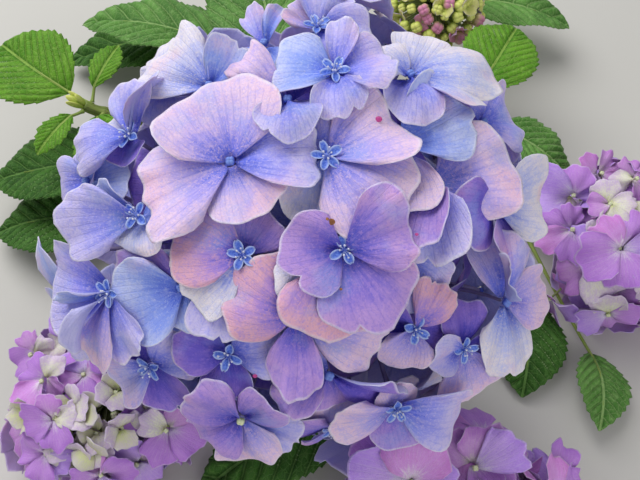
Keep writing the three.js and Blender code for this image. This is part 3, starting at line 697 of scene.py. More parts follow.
def petal_cup(pile, centre, way, out, length, width, seed):
    """A small spoon-shaped true petal."""
    cross = np.cross(out, way)
    rows, cols = PETAL_GRID
    u, v = np.linspace(0, 1, rows)[:, None], np.linspace(-1, 1, cols)[None, :]
    half = (width / 2) * np.sin(np.pi * np.clip(0.08 + 0.88 * u, 0, 1)) ** 0.6
    rise = 0.25 * length * np.sin(1.9 * u) + 0.25 * width * v ** 2
    points = centre + (u * length + 0 * v)[..., None] * way + (half * v)[..., None] * cross
    points = points + rise[..., None] * out
    coords = np.stack([u + 0 * v, v + 0 * u, np.full(PETAL_GRID, seed)], 2)
    shell(pile, points, PETAL_THICK, ("petal", "petal"), coords)


def button(pile, centre, out, draw, look="bud", size=1.0):
    """A closed flower bud of four rounded lobes."""
    out = unit(out)
    side, other = sides_of(out)
    seed = draw(0, 20)
    start = draw(0, FULL_TURN)
    radius = size * draw(*BUTTON_RADIUS)
    lobe = np.stack([side, other, out * 1.15], 1) * radius * 0.72
    rings, sides = (5, 7) if size < SMALL_BUTTON else (6, 8)
    for k in range(4):
        away = round_way(side, other, start + k * math.pi / 2) * radius * 0.42
        bead(pile, centre + out * radius * 0.9 + away, lobe, look, seed + k, rings, sides)


def floret(pile, eyes, frame_of, one, rows, kind, draw, size, shape_size=1.0, drape=None):
    """Sepals, each a way, reach, look, breadth and lift in a frame, round a floret's place there."""
    centre, out = frame_of.to(one["place"]), frame_of.axes @ one["out"]
    for k, (way, reach, look, breadth, lift) in enumerate(rows):
        way, faced = frame_of.axes @ way, out
        if breadth < TWISTED and abs(lift) > STANDING:
            turn = math.acos(breadth) * (1 if draw() > 0.5 else -1)
            faced = round_way(out, np.cross(out, way), turn)
            breadth = 1.0
        notch = draw(-0.4, 0.4) if draw() < NOTCHED else None
        sepal(pile, centre + out * 0.3, way, faced, reach, look, draw, size, breadth, lift, k * LAYER,
              notch, drape)
    if drape:
        centre = drape.over(centre)
    if kind == "star":
        star(eyes, centre, out, draw)
    else:
        button(eyes, centre, out, draw, EYES[kind], shape_size)


# The rules that spread florets over a bloom, as in the part's source

GOLDEN = math.pi * (3 - math.sqrt(5))  # the turn that deals points evenly
LAYERS = 4


def shell_point(direction, half):
    """A point of a bloom's shell in a direction, and the shell's slope there."""
    size = np.array([half[0], half[1], half[2] if direction[2] > 0 else half[3]])
    place = direction / np.linalg.norm(direction / size)
    return place, unit(place / size ** 2)


def even_directions(count):
    for i in range(count):
        z = 1 - (2 * (i + 0.5)) / count
        flat = math.sqrt(1 - z * z)
        yield np.array([flat * math.cos(GOLDEN * i), flat * math.sin(GOLDEN * i), z])


def open_places(count, half, stem, clear):
    """Even directions away from a stem, each with its point of the shell and the slope there."""
    for direction in even_directions(count):
        if angle_between(direction, stem) >= clear:
            yield (direction, *shell_point(direction, half))


def facing(out, lean_right, lean_up):
    flat = mix(out, np.array([0, 0, 1]), FACE_FLATTEN)
    return unit(flat + np.array([lean_right, lean_up, 0]))


def near_any(place, spots, reach):
    return any(np.linalg.norm(place - spot) < reach for spot in spots)


def layered(florets):
    """Lifts overlapping florets by layers, so that they lie over and under each other."""
    layers = []
    for i, one in enumerate(florets):
        taken = {layers[j] for j in range(i)
                 if np.linalg.norm(florets[j]["shell"] - one["shell"])
                 < OVERLAP_SHARE * (florets[j]["reach"] + one["reach"])}
        free = [layer for layer in range(LAYERS) if layer not in taken]
        layers.append(free[0] if free else i % LAYERS)
        one["place"] = one["shell"] + one["out"] * layers[i] * LAYER_STEP * one["reach"]


# Sepals of a floret: those that the tables give, and dealt ones

MOST_STRETCH = 1.25  # of a sepal that is seen at a slant
SEPAL_WAVER = 9  # degrees, of the way that a dealt sepal points
DEALT_REACH, DEALT_BREADTH, DEALT_LIFT = (0.92, 1.1), (0.9, 1.2), (-8, 8)


def whole(row):
    """A row of the tables, with its breadth and lift where it doesn't say them."""
    return (*row, *(1.0, 0)[len(row) - 3:])


def flat_way(degrees):
    return np.array([math.cos(math.radians(degrees)), math.sin(math.radians(degrees)), 0])


def seen_sepals(out, rows):
    """Sepals in a floret's plane from the ways and reaches that they show from the front."""
    found = []
    for way, reach, tone, breadth, lift in map(whole, rows):
        full = flat_way(way)
        full[2] = -(out[:2] @ full[:2]) / out[2]
        stretch = min(np.linalg.norm(full), MOST_STRETCH) / math.cos(math.radians(lift))
        found.append((unit(full), reach * stretch, tone, breadth, lift))
    return found


def open_axes(out):
    """Two directions in a floret's plane."""
    side = np.array((1, 0, 0) if abs(out[0]) < 0.9 else (0, 1, 0))
    right = unit(side - out * (side @ out))
    return right, np.cross(out, right)


def dealt_sepals(one, tones, draw):
    right, up = open_axes(one["out"])
    found = []
    for k in range(4):
        angle = math.radians(one["turn"] + 90 * k + draw(-SEPAL_WAVER, SEPAL_WAVER))
        tone = tones[int(draw() * len(tones)) % len(tones)]
        reach = one["reach"] * draw(*DEALT_REACH)
        found.append((round_way(right, up, angle), reach, tone, draw(*DEALT_BREADTH), draw(*DEALT_LIFT)))
    return found


def lifted(rows, lift):
    """The sepals, each lifted further by what lift() gives."""
    return [(way, reach, tone, breadth, low + lift()) for way, reach, tone, breadth, low in rows]


# The large bloom

LARGE_PIECE = ("sepals_large", "bloom_large")  # what its pieces are made of and replace
LARGE_LOOK_SEED = 101
# Rows and columns of points in a sepal
FACE_SIZE, BACK_SIZE, INNER_SIZE = (15, 31), (9, 15), (6, 7)
BACK_TONES = ("lilac", "blue", "pink", "pale", "dusk")
# The inner florets take mostly dark violet tones: painted shade in the gaps between the outer florets,
# over their own colour.
INNER_SHADE_TONES = ("violet", "dusk", "blue", "violet")
BACK_GROUP, INNER_GROUP = 5, 8  # florets in a piece
BACK_STARS = 0.45  # share of dealt florets with an open flower
RISE_SHARE = 0.6
DRAPE_FACING = 0.45  # florets that face the viewer less than this aren't draped
# Dealt florets that sit further in, where the bloom's edge dips: place on its face, and share of size
DIPS = [
    ((-27, 73), 0.78), ((-54, 66), 0.82), ((-84, 23), 0.8), ((-72, 42), 0.72), ((-96, -9), 0.88),
    ((-71, -55), 0.92), ((96, -8), 0.88), ((-13, 85), 0.8), ((-34, 80), 0.8), ((17, -78), 0.88),
    ((47, -73), 0.84), ((-28, -78), 0.9), ((0, -84), 0.88), ((-45, -72), 0.82)]
DIP_REACH = 10
INNER_DIP_REACH = 24
# Small marks on the sepals, as the photo shows: place across and up the face, half width, and look
MARKS = [
    (29.5, 34.5, 1.2, "mark_pink"), (14.5, 2.2, 1.3, "mark_brown"), (13.2, 3.0, 0.7, "mark_brown"),
    (-9.5, -46.5, 0.8, "mark_pink"), (40.5, -1.5, 0.6, "mark_pink"), (17.5, -18.0, 0.5, "mark_brown")]
MARK_SHAPE = np.array([1, 0.8, 0])
MARK_HEIGHT = np.array([0, 0, 0.25])
BRANCHES, BRANCH_SHARE = 16, 0.42
BRANCH_RADIUS = (2.6, 1.7)
STALK_RADIUS = (1.3, 0.6)
HUB_SHARE = 0.30  # of the stem's reach into the bloom, where its branches part
LARGE_NECK = (1, 0.65, HUB_SHARE)
LARGE_NECK_RADII = (CANE_RADIUS[0], 4.2, 3.4)
FOOT_INSIDE = 1.5  # of a branch in the hub

NECK_WAY = np.array([0, math.cos(math.radians(NECK_TILT)), -math.sin(math.radians(NECK_TILT))])
LARGE = Frame(turned("x", 90 - FACE_TILT), BLOOM_CENTRE)
LARGE_STEM = LARGE.inside(NECK_WAY)


def placed_florets():
    found = []
    for x, y, rise, lean_right, lean_up, kind, rows in FACE_FLORETS:
        inside = 1 - (x / BLOOM_HALF[0]) ** 2 - (y / BLOOM_HALF[1]) ** 2
        place = np.array([x, y, BLOOM_HALF[2] * math.sqrt(max(inside, RIM_INSIDE))])
        out = facing(shell_point(unit(place), BLOOM_HALF)[1], lean_right, lean_up)
        found.append(dict(shell=place, out=out, reach=BACK_REACH, rise=rise,
                          sepals=seen_sepals(out, rows), kind=kind))
    return found


def dealt_florets(placed):
    draw = Draws(LARGE_SEED)
    spots = [one["shell"] for one in placed]
    found = []
    for direction in even_directions(BLOOM_DEALT):
        place, out = shell_point(direction, BLOOM_HALF)
        place = place * np.array([1 - TOP_TAPER * max(0, place[1] / BLOOM_HALF[1]), 1, 1])
        turn = 90 * draw()
        reach = BACK_REACH * draw(0.9, 1.08)
        if near_any(place, spots, FACE_SPACING) or angle_between(direction, LARGE_STEM) < NECK_CLEAR:
            continue
        found.append(dict(shell=place, out=out, reach=reach, turn=turn))
    return found


def inner_florets(draw):
    found = []
    for direction, place, out in open_places(INNER_DEALT, BLOOM_HALF, LARGE_STEM, NECK_CLEAR):
        dips = [share for spot, share in DIPS if np.linalg.norm(place[:2] - spot) < INNER_DIP_REACH]
        share = min(dips, default=1.0)
        found.append(dict(place=place * INNER_SHARE * share, out=unit(out + 0.4 * draw() * direction),
                          turn=draw(0, 90), reach=INNER_REACH * share * draw(0.85, 1.1)))
    return found


def grouped(florets, size):
    """Groups of florets, each with its number."""
    for first in range(0, len(florets), size):
        yield first // size + 1, florets[first:first + size]


def large_bloom():
    look = Draws(LARGE_LOOK_SEED)
    placed = placed_florets()
    dealt = dealt_florets(placed)
    layered(placed + dealt)
    eyes, marks, stalks, drape = Pile(), Pile(), Pile(), Drape(LARGE)
    for number, group in grouped(dealt, BACK_GROUP):
        pile = Pile()
        for one in group:
            for place, share in DIPS:
                if np.linalg.norm(one["place"][:2] - place) < DIP_REACH:
                    one["place"] = one["place"] * share
                    one["reach"] *= share
            rows = dealt_sepals(one, BACK_TONES, look)
            kind = "star" if look() < BACK_STARS else "bead"
            over = drape if one["out"][2] > DRAPE_FACING else None
            floret(pile, eyes, LARGE, one, rows, kind, look, BACK_SIZE, drape=over)
        pile.make(f"back_florets_{number:02d}", *LARGE_PIECE)
    for k, one in sorted(enumerate(placed), key=lambda pair: pair[1]["rise"]):
        pile = Pile()
        one["place"] = one["shell"] + one["out"] * one["rise"] * RISE_SHARE
        floret(pile, eyes, LARGE, one, one["sepals"], one["kind"], look, FACE_SIZE, drape=drape)
        pile.make(f"floret_{k + 1:02d}", *LARGE_PIECE)
    for x, y, width, mark in MARKS:
        spot = drape.over(LARGE.to((x, y, 0)), most=math.inf)
        bead(marks, spot, LARGE.axes * (width * MARK_SHAPE + MARK_HEIGHT), mark, look(0, 9), sides=12)
    marks.make("bloom_large_marks", *LARGE_PIECE)
    inner = inner_florets(look)
    for number, group in grouped(inner, INNER_GROUP):
        pile = Pile()
        for one in group:
            floret(pile, eyes, LARGE, one, dealt_sepals(one, INNER_SHADE_TONES, look), "bead", look, INNER_SIZE)
        pile.make(f"inner_florets_{number:02d}", *LARGE_PIECE)
    branch_stalks(stalks, placed + dealt + inner, look)
    eyes.make("bloom_large_eyes", *LARGE_PIECE)
    stalks.make("bloom_large_stalks", "green_stem", "bloom_large")


def branch_stalks(pile, florets, draw):
    """Branches from the stem to points inside the bloom, and a stalk from the nearest to each floret."""
    reach = LARGE_STEM * NECK_REACH
    hub = reach * HUB_SHARE
    neck(pile, LARGE, reach, LARGE_NECK, LARGE_NECK_RADII, "stalk", draw(0, 9))
    ends = [shell_point(way, BLOOM_HALF)[0] * BRANCH_SHARE for way in even_directions(BRANCHES)]
    for end in ends:
        ways = (hub - unit(hub - end) * FOOT_INSIDE, mix(hub, end, 0.5) + LARGE_STEM * 3, end)
        bent_tube(pile, LARGE, ways, BRANCH_RADIUS, 6, "stalk", 8, draw(0, 9))
    for one in florets:
        end = one["place"] - one["out"] * 0.2
        start = min(ends, key=lambda place: np.linalg.norm(place - end))
        bend = end - one["out"] * 0.4 * np.linalg.norm(end - start)
        bent_tube(pile, LARGE, (start, bend, end), STALK_RADIUS, 7, "stalk", 6, draw(0, 9))


# The younger blooms

YOUNG_OUTER = ("young_mauve", "young_pink", "young_lilac", "young_mauve")
YOUNG_MIDDLE = ("young_blush", "young_mauve", "young_blush", "young_cream", "young_lilac")
YOUNG_INNER = ("young_cream", "young_cream", "young_lime")
YOUNG_LOOK_SEED = 100  # added to a bloom's own seed
YOUNG_SIZE, SEEN_SIZE, HEART_SIZE = (9, 11), (11, 17), (7, 9)
MIDDLE_ANGLE = 1.35 * HEART_ANGLE
HEART_GROWN, HEART_LIFT = 1.15, 24
HEART_BUDS = 30
HEART_FLORETS = 7
UNDER_FLORETS = 36
YOUNG_FACING = 0.72
SEEN_SPACING = 13
FRONT = (0, 0, 1)
YOUNG_STALK, YOUNG_STALK_FOOT = (1.0, 0.5), 8
YOUNG_NECK_SHARES, YOUNG_NECK_RADII = (1.0, 0.6, 0.2, 0.02), (SHOOT_RADIUS[1], 2.7, 2.3, 1.6)


def bloom_frame(centre, tilt, turn):
    return Frame(turned("z", turn) @ turned("x", 90 - tilt), centre)


def young_bloom(name, centre, half, stem, tilt, turn, dealt, outer, inner, seed, seen):
    draw, look = Draws(seed), Draws(seed + YOUNG_LOOK_SEED)
    frame_of = bloom_frame(centre, tilt, turn)
    half = (half[0], *half)
    stem = frame_of.inside(unit(stem))
    clear = STEM_ANGLE + math.degrees(math.atan(outer / half[0]))
    spots = [frame_of.inside(LARGE.to(place) - frame_of.place) for *place, _, _, _ in seen]
    florets = []
    for direction in even_directions(dealt):
        place, out = shell_point(direction, half)
        spin = 90 * draw()
        heart = angle_between(direction, FRONT)
        reach = (inner if heart < HEART_ANGLE else outer) * draw(0.9, 1.1)
        if near_any(place, spots, SEEN_SPACING) or angle_between(direction, stem) < clear:
            continue
        florets.append(dict(shell=place, out=out, reach=reach, turn=spin, heart=heart))
    layered(florets)
    ends = [one["place"] for one in florets]
    sepals, hearts, eyes, stalks, drape = Pile(), Pile(), Pile(), Pile(), Drape(frame_of)

    def grow(pile, one, rows, size, shape_size, over=None, where=frame_of):
        floret(pile, eyes, where, one, rows, "young", look, size, shape_size, over)

    for one in sorted(florets, key=lambda found: found["place"][2]):
        over = drape if one["out"][2] > YOUNG_FACING else None
        if one["heart"] > HEART_ANGLE:
            tones = YOUNG_OUTER if one["heart"] > MIDDLE_ANGLE else YOUNG_MIDDLE
            grow(sepals, one, dealt_sepals(one, tones, look), YOUNG_SIZE, 0.8, over)
        else:
            one["reach"] *= HEART_GROWN
            rows = lifted(dealt_sepals(one, YOUNG_INNER, look), lambda: HEART_LIFT)
            grow(hearts, one, rows, HEART_SIZE, 0.6, over)
    for one in under_florets(half, stem, outer, clear, look):
        grow(sepals, one, dealt_sepals(one, YOUNG_OUTER, look), HEART_SIZE, 0.7)
        ends.append(one["place"])
    for share in np.linspace(0, 1, HEART_FLORETS, endpoint=False):
        angle = 2 * math.pi * (share + look(0, 0.06))
        lean = math.radians(look(0.35, 0.95) * HEART_ANGLE)
        flat = math.sin(lean)
        direction = np.array([math.cos(angle) * flat, math.sin(angle) * flat, math.cos(lean)])
        place, out = shell_point(direction, half)
        one = dict(place=place * look(0.92, 1.02), out=unit(out + 0.3 * direction),
                   turn=look(0, 90), reach=inner * look(1.05, 1.35))
        rows = lifted(dealt_sepals(one, YOUNG_INNER, look), lambda: look(15, 45))
        grow(hearts, one, rows, HEART_SIZE, 0.55, drape)
        ends.append(one["place"])
    for (*place, lean_right, lean_up, rows), spot in zip(seen, spots):
        one = dict(place=place, out=unit((lean_right, lean_up, 1)))
        rows = [(flat_way(way), reach, "young_" + tone, breadth, lift)
                for way, reach, tone, breadth, lift in map(whole, rows)]
        grow(sepals, one, rows, SEEN_SIZE, 0.8, drape, LARGE)
        ends.append(spot)
    for _ in range(HEART_BUDS):
        direction = unit((look(-0.6, 0.6), look(-0.6, 0.6), 1))
        place, out = shell_point(direction, half)
        ends.append(place * look(0.86, 0.97))
        button(eyes, frame_of.to(ends[-1]), frame_of.axes @ out, look, "bud_green", look(0.7, 1.1))
    for end in ends:
        ways = (stem * YOUNG_STALK_FOOT, end * 0.5, end)
        bent_tube(stalks, frame_of, ways, YOUNG_STALK, 5, "stalk_green", 6)
    neck(stalks, frame_of, stem * half[0] * YOUNG_NECK, YOUNG_NECK_SHARES, YOUNG_NECK_RADII, "stalk_green")
    sepals.make(name + "_sepals", "sepals_young", name, rests=True)
    hearts.make(name + "_heart", "sepals_young", name, rests=True)
    eyes.make(name + "_buds", "buds", name, rests=True)
    stalks.make(name + "_stalks", "green_stem", name)


def under_florets(half, stem, outer, clear, draw):
    """Inner florets that close a young bloom between its outer ones."""
    return [dict(place=place * draw(0.74, 0.92), out=out, turn=draw(0, 90), reach=outer * draw(0.75, 0.95))
            for direction, place, out in open_places(UNDER_FLORETS, half, stem, clear)
            if angle_between(direction, FRONT) >= HEART_ANGLE]


BUD_COUNT = 150
BUD_SWOLLEN = 0.28  # share of the buds that are pink and larger
BUD_WAVER = 0.06
BUD_PROUD = (4, 4, 4, 2)  # past the bloom's half sizes
BUD_STALK, BUD_STALK_FOOT = (0.8, 0.45), 5
BUD_NECK_SHARES, BUD_NECK_RADII = (1.0, 0.5, 0.1), (SHOOT_RADIUS[1], 2.4, 1.6)
BRACT_FLORETS = 30
BRACT_TONES = ("young_bract", "young_bract", "young_bract", "young_bract_pink")


def budding_bloom(name, centre, half, stem, tilt, turn, seed):
    """A bloom still in bud: crowded beads, green inside and pink where they swell, and small bracts."""
    look = Draws(seed + YOUNG_LOOK_SEED)
    frame_of = bloom_frame(centre, tilt, turn)
    grown = np.add((half[0], *half), BUD_PROUD)
    stem = frame_of.inside(unit(stem))
    clear = STEM_ANGLE + 8
    buds, stalks, bracts = Pile(), Pile(), Pile()
    for direction in even_directions(BUD_COUNT):
        moved = direction + [look(-BUD_WAVER, BUD_WAVER) for _ in range(3)]
        place, out = shell_point(unit(moved), grown)
        swollen = look() < BUD_SWOLLEN
        if angle_between(direction, stem) < clear:
            continue
        place = place * look(0.86, 1.0)
        kind, size = ("bud_pink", look(2.0, 2.7)) if swollen else ("bud_lime", look(1.6, 2.4))
        button(buds, frame_of.to(place), frame_of.axes @ out, look, kind, size)
        ways = (stem * BUD_STALK_FOOT, place * 0.5, place)
        bent_tube(stalks, frame_of, ways, BUD_STALK, 4, "stalk_green", 5)
    for direction, place, out in open_places(BRACT_FLORETS, grown, stem, clear):
        tone = BRACT_TONES[math.floor(look(0, len(BRACT_TONES)))]
        one = dict(out=out, turn=look(0, 90), reach=look(6.5, 8.5))
        rows = lifted(dealt_sepals(one, (tone,), look), lambda: look(25, 50))
        one["place"] = place * look(0.9, 0.99)
        floret(bracts, buds, frame_of, one, rows, "young", look, HEART_SIZE, 0.6)
    neck(stalks, frame_of, stem * half[0] * YOUNG_NECK, BUD_NECK_SHARES, BUD_NECK_RADII, "stalk_green")
    bracts.make(name + "_bracts", "buds", name)
    buds.make(name + "_buds", "buds", name)
    stalks.make(name + "_stalks", "green_stem", name)


# The cane and the side shoots

CANE_SEED, SHOOT_SEED = 301, 400
CANE_JOINTS, CANE_RING = (0.16, 0.42, 0.60, 0.78, 0.90), (0.55, 3.0)  # rings: height and half width
SHOOT_JOINTS, SHOOT_RING = (0.26, 0.5, 0.74, 0.9), (0.6, 2.2)
CANE_POINTS, CANE_SIDES = 260, 44
SHOOT_POINTS, SHOOT_SIDES = 150, 26
FLARE, FLARE_LENGTH = 0.8, 3.5
TIP_LEAVES = ((1.0, 0.22), (1.0, -0.22), (0.8, 0.34), (0.8, -0.34))  # share of the bud's length, and lean


class Bezier:
    """A cubic curve with points by share of its length, as the part's source has it."""

    def __init__(self, a, b, c, d):
        t = np.linspace(0, 1, 400)[:, None]
        a, b, c, d = (np.asarray(p, float) for p in (a, b, c, d))
        self.points = (1 - t) ** 3 * a + 3 * t * (1 - t) ** 2 * b + 3 * t * t * (1 - t) * c + t ** 3 * d
        steps = np.linalg.norm(np.diff(self.points, axis=0), axis=1)
        self.length = steps.sum()
        self.share = np.concatenate([[0], np.cumsum(steps)]) / self.length

    def at(self, share):
        return np.array([np.interp(share, self.share, self.points[:, k]) for k in range(3)])

    def way(self, share):
        return unit(self.at(min(share + 0.01, 1)) - self.at(max(share - 0.01, 0)))

    def rings(self, far, joints, shape):
        """What the swollen rings at its joints add to its radius."""
        height, width = shape
        return sum(height * bump(far - joint * self.length, width) for joint in joints)


def foot_on(curve, share, radius, toward, foot_radius):
    """Where a limb's flat foot sits on the side of another limb."""
    centre = curve.at(share)
    way = unit(np.asarray(toward, float) - centre)
    slope = abs(way @ curve.way(share))
    return centre + way * (radius + GAP + foot_radius * slope) / math.sqrt(1 - slope * slope)


def make_cane():
    top = np.asarray(BLOOM_CENTRE, float) + NECK_WAY * (NECK_REACH + GAP)
    curve = Bezier(top, top + NECK_WAY * CANE_NECK, CANE_THROUGH, CANE_CUT)
    draw = Draws(CANE_SEED)
    phases = [draw(0, FULL_TURN) for _ in range(4)]

    def relief(angle, far):
        """Ridges and shallow furrows that run along the bark, and rings where leaves and shoots grew."""
        ridges = waved(angle, 0.10, 7, 0.05 * far + phases[0])
        ridges = ridges + waved(angle, 0.07, 13, phases[1] - 0.09 * far)
        bent = waved(far, 0.7, 0.11, phases[2])
        furrow = -0.16 * np.maximum(0, np.sin(5 * angle + bent)) ** 8
        lumps = waved(angle, 0.06, 3, 0.9 * far + phases[3]) * np.sin(0.37 * far)
        return ridges + furrow + lumps + curve.rings(far, CANE_JOINTS, CANE_RING)

    share = np.linspace(0, 1, CANE_POINTS)
    bark, cut = Pile(), Pile()
    path = [curve.at(s) for s in share]
    tube(bark, path, mix(*CANE_RADIUS, share) - 0.2, "bark", sides=CANE_SIDES, relief=relief)
    bark.make("cane_bark", "bark", "cane")
    last, end = curve.at(1.0), curve.way(1.0)
    radii = (CANE_RADIUS[1] - 0.25, CANE_RADIUS[1] - 0.3)
    tube(cut, [last - end * 0.4, last + end * 0.02], radii, "cut_wood", sides=CANE_SIDES)
    cut.make("cane_cut", "bark", "cane")
    return curve


def shoot_curve(cane, start, toward, bloom=None, last=None):
    """The curve of a side shoot, to a bloom's stem or through the last two points given."""
    foot = foot_on(cane, start, mix(*CANE_RADIUS, start), toward, SHOOT_RADIUS[0])
    if last:
        return Bezier(foot, toward, *last)
    facts = YOUNG_BLOOMS[bloom]
    way = unit(facts["stem"])
    tip = np.array(facts["centre"]) + way * (facts["half"][0] * YOUNG_NECK + GAP)
    return Bezier(foot, toward, tip + way * SHOOT_NECK, tip)


def make_shoots(cane):
    limbs = {"cane": (cane, CANE_RADIUS)}
    for k, (name, shoot) in enumerate(SHOOTS.items()):
        curve = shoot_curve(cane, **shoot)
        limbs[name] = (curve, SHOOT_RADIUS)
        draw = Draws(SHOOT_SEED + k)
        phase = draw(0, FULL_TURN)

        def relief(angle, far, curve=curve, phase=phase):
            """Soft angles along the stem, and a swollen ring at each pair of leaves."""
            sides = waved(angle, 0.10, 4, 0.01 * far + phase) + waved(angle, 0.04, 9, -0.08 * far)
            return sides + curve.rings(far, SHOOT_JOINTS, SHOOT_RING)

        share = np.linspace(0, 1, SHOOT_POINTS)
        radii = mix(*SHOOT_RADIUS, share) - 0.1 + FLARE * bump(share * curve.length, FLARE_LENGTH)
        pile, path = Pile(), [curve.at(s) for s in share]
        tube(pile, path, radii, "stem", sides=SHOOT_SIDES, relief=relief, seed=draw(0, 20))
        if "last" in shoot:
            tip_bud(pile, curve, draw)
        pile.make(name + "_stem", "green_stem", name)
    return limbs


def tip_bud(pile, curve, draw):
    """The growing tip: two pairs of small folded leaves round a pointed middle."""
    tip, way = curve.at(1.0), curve.way(1.0)
    side = unit(np.cross(way, (0, 0, 1)))
    other = np.cross(way, side)
    middle = np.stack([side * 1.9, other * 1.9, way * 0.5 * TIP_BUD], 1)
    bead(pile, tip + way * 0.45 * TIP_BUD, middle, "bud_lime", draw(0, 9), rings=10, sides=12)
    for k, (share, lean) in enumerate(TIP_LEAVES):
        axis = side if k < 2 else other
        away = unit(way + axis * lean)
        length = TIP_BUD * share
        shape = np.stack([np.cross(axis, away) * 2.1, axis * 0.9, away * 0.5 * length], 1)
        place = tip + axis * math.copysign(1.6, lean) + away * 0.4 * length
        bead(pile, place, shape, "bud_lime", draw(0, 9), rings=9, sides=12)


# Leaves

LEAF_THICK = 0.5
LEAF_FOLD = 0.16
LEAF_FORWARD = 0.85
LEAF_FULLNESS = 0.8
LEAF_ENDS = (0.004, 0.996)
LEAF_COLS, LEAF_CROWDING = 29, 0.9  # points across, a little closer together towards the edge
TOOTH_SPACING = 4.0
TOOTH_DEPTH = 1.7
TOOTH_ROWS = 5
TOOTH_LEAST = 5
TOOTH_SWEEP = 1.6
VEIN_ANGLE = 48
VEIN_PAIRS = 8
VEIN_STAGGER = 0.22
VEIN_DEPTH = 1.1
PUFF = 0.021  # rise of the blade between its veins, beside the length
RIPPLE = 0.012
EDGE_CURL = -0.05
PETIOLE_POINTS = 14


def leaf(name, limbs, limb, at, base, tip, width, roll, bow, age):
    base, tip = np.array(base, float), np.array(tip, float)
    length = np.linalg.norm(tip - base)
    along = unit(tip - base)
    left = unit(np.cross((0, 0, 1), along))
    frame_of = Frame(np.stack([along, left, np.cross(along, left)], 1) @ turned("x", roll), base)
    draw = Draws(sum(map(ord, name)))
    phase, wave = draw(0, FULL_TURN), draw(1.5, 2.6)
    bend = length * draw(-0.05, 0.05)
    pile = Pile()
    points, coords = blade(length, width, bow, bend, phase, wave)
    shell(pile, frame_of.to(points), LEAF_THICK, ("leaf_" + age, "leaf_under"), coords)
    petiole(pile, frame_of, limbs[limb], at, length, bow * length, bend, draw)
    pile.make(name + "_blade", "leaf", name)


def blade(length, width, bow, bend, phase, wave):
    """A toothed blade's points in its own frame, and their places in the pattern of its veins."""
    teeth = max(TOOTH_LEAST, round(length / TOOTH_SPACING))
    share = np.linspace(*LEAF_ENDS, teeth * TOOTH_ROWS + 1)[:, None]
    across = np.linspace(-1, 1, LEAF_COLS)[None, :]
    across = np.sign(across) * np.abs(across) ** LEAF_CROWDING
    side, away = np.sign(across), np.abs(across)
    middle = np.sin(np.pi * share)
    half = (width / 2) * np.sin(np.pi * share ** LEAF_FORWARD) ** LEAF_FULLNESS
    depth = TOOTH_DEPTH * np.minimum(1, 2.2 * half / (width / 2)) * smooth(0.02, 0.12, share)
    outer = half + depth * ((share * teeth) % 1 - 0.55)
    pull = away ** 6
    y = side * (away * (half * (1 - pull) + outer * pull))
    x = share * length + TOOTH_SWEEP * away ** 2 * middle
    # the veins leave the midrib in pairs and curve towards the tip
    spacing = length / (VEIN_PAIRS + 1.2)
    reach = np.abs(y) / math.tan(math.radians(VEIN_ANGLE)) * (1 + 0.35 * np.abs(y) / (width / 2))
    step = (x - reach) / spacing + VEIN_STAGGER * np.sign(y)
    gap = np.abs(step - np.round(step)) * spacing
    in_blade = smooth(0.0, 0.08, share) * smooth(1.0, 0.90, share)
    vein = bump(gap, 0.09 * spacing + 0.3) * smooth(1.02, 0.6, away) * in_blade
    midrib = bump(y, 0.012 * length + 0.5)
    puff = PUFF * length * (1 - bump(gap, 0.22 * spacing)) * smooth(0.0, 0.3, away)
    puff = puff * smooth(1.0, 0.72, away) * in_blade
    ripple = waved(9 * share, RIPPLE * length, wave, phase + 1.3 * np.sign(y)) * away ** 3
    curl = EDGE_CURL * width * away ** 4 * middle
    z = 4 * bow * length * share * (1 - share) + LEAF_FOLD * np.abs(y) + puff + ripple * in_blade + curl
    z = z - VEIN_DEPTH * np.maximum(vein * 0.7, midrib) * min(1, length / 60)
    return np.stack([x, y + bend * middle, z], 2), np.stack([x, y, step], 2)


def petiole(pile, frame_of, limb, at, length, rise, bend, draw):
    """A stalk from a limb to a blade, and on along its underside."""
    curve, limb_radius = limb
    thick, thin = (max(PETIOLE_LEAST, share * length) for share in PETIOLE_SHARE)
    foot = foot_on(curve, at, mix(*limb_radius, at), frame_of.place, thick)
    join = frame_of.to((0.03 * length, 0, 0.1 * rise - thin * 0.9))
    inside = frame_of.to((0.30 * length, bend * 0.8, 0.83 * rise - LEAF_THICK))
    far = frame_of.to((0.72 * length, bend * 0.77, 0.80 * rise - LEAF_THICK))
    sag = mix(foot, join, 0.5) - np.array([0, 0, 0.04 * np.linalg.norm(join - foot)])
    path = [curve_point(foot, sag, join, t) for t in np.linspace(0, 1, PETIOLE_POINTS)]
    path += [mix(join, inside, t) for t in np.linspace(0.15, 1, 6)]
    path += [mix(inside, far, 0.5), far]
    swell = 0.5 * np.exp(-np.linspace(0, 6, PETIOLE_POINTS))
    radii = np.concatenate([np.linspace(thick, thin, PETIOLE_POINTS) + swell,
                            np.linspace(thin, thin * 0.55, 6), [thin * 0.4, thin * 0.2]])
    tube(pile, path, radii, "petiole", sides=12, seed=draw(0, 9))


# Looks

def rgb(red, green, blue):
    """A colour as it shows on screen, from 0 to 255, as the shaders' linear values."""
    def linear(v):
        v = v / 255
        return v / 12.92 if v <= 0.04045 else ((v + 0.055) / 1.055) ** 2.4
    return (linear(red), linear(green), linear(blue), 1.0)


class Value:
    """A number from a look's nodes, for sums and products that become nodes too."""

    def __init__(self, look, socket):
        self.look, self.socket = look, socket

    def __add__(self, other):
        return self.look.math("ADD", self, other)

    def __sub__(self, number):
        return self + -number

    def __mul__(self, other):
        return self.look.math("MULTIPLY", self, other)


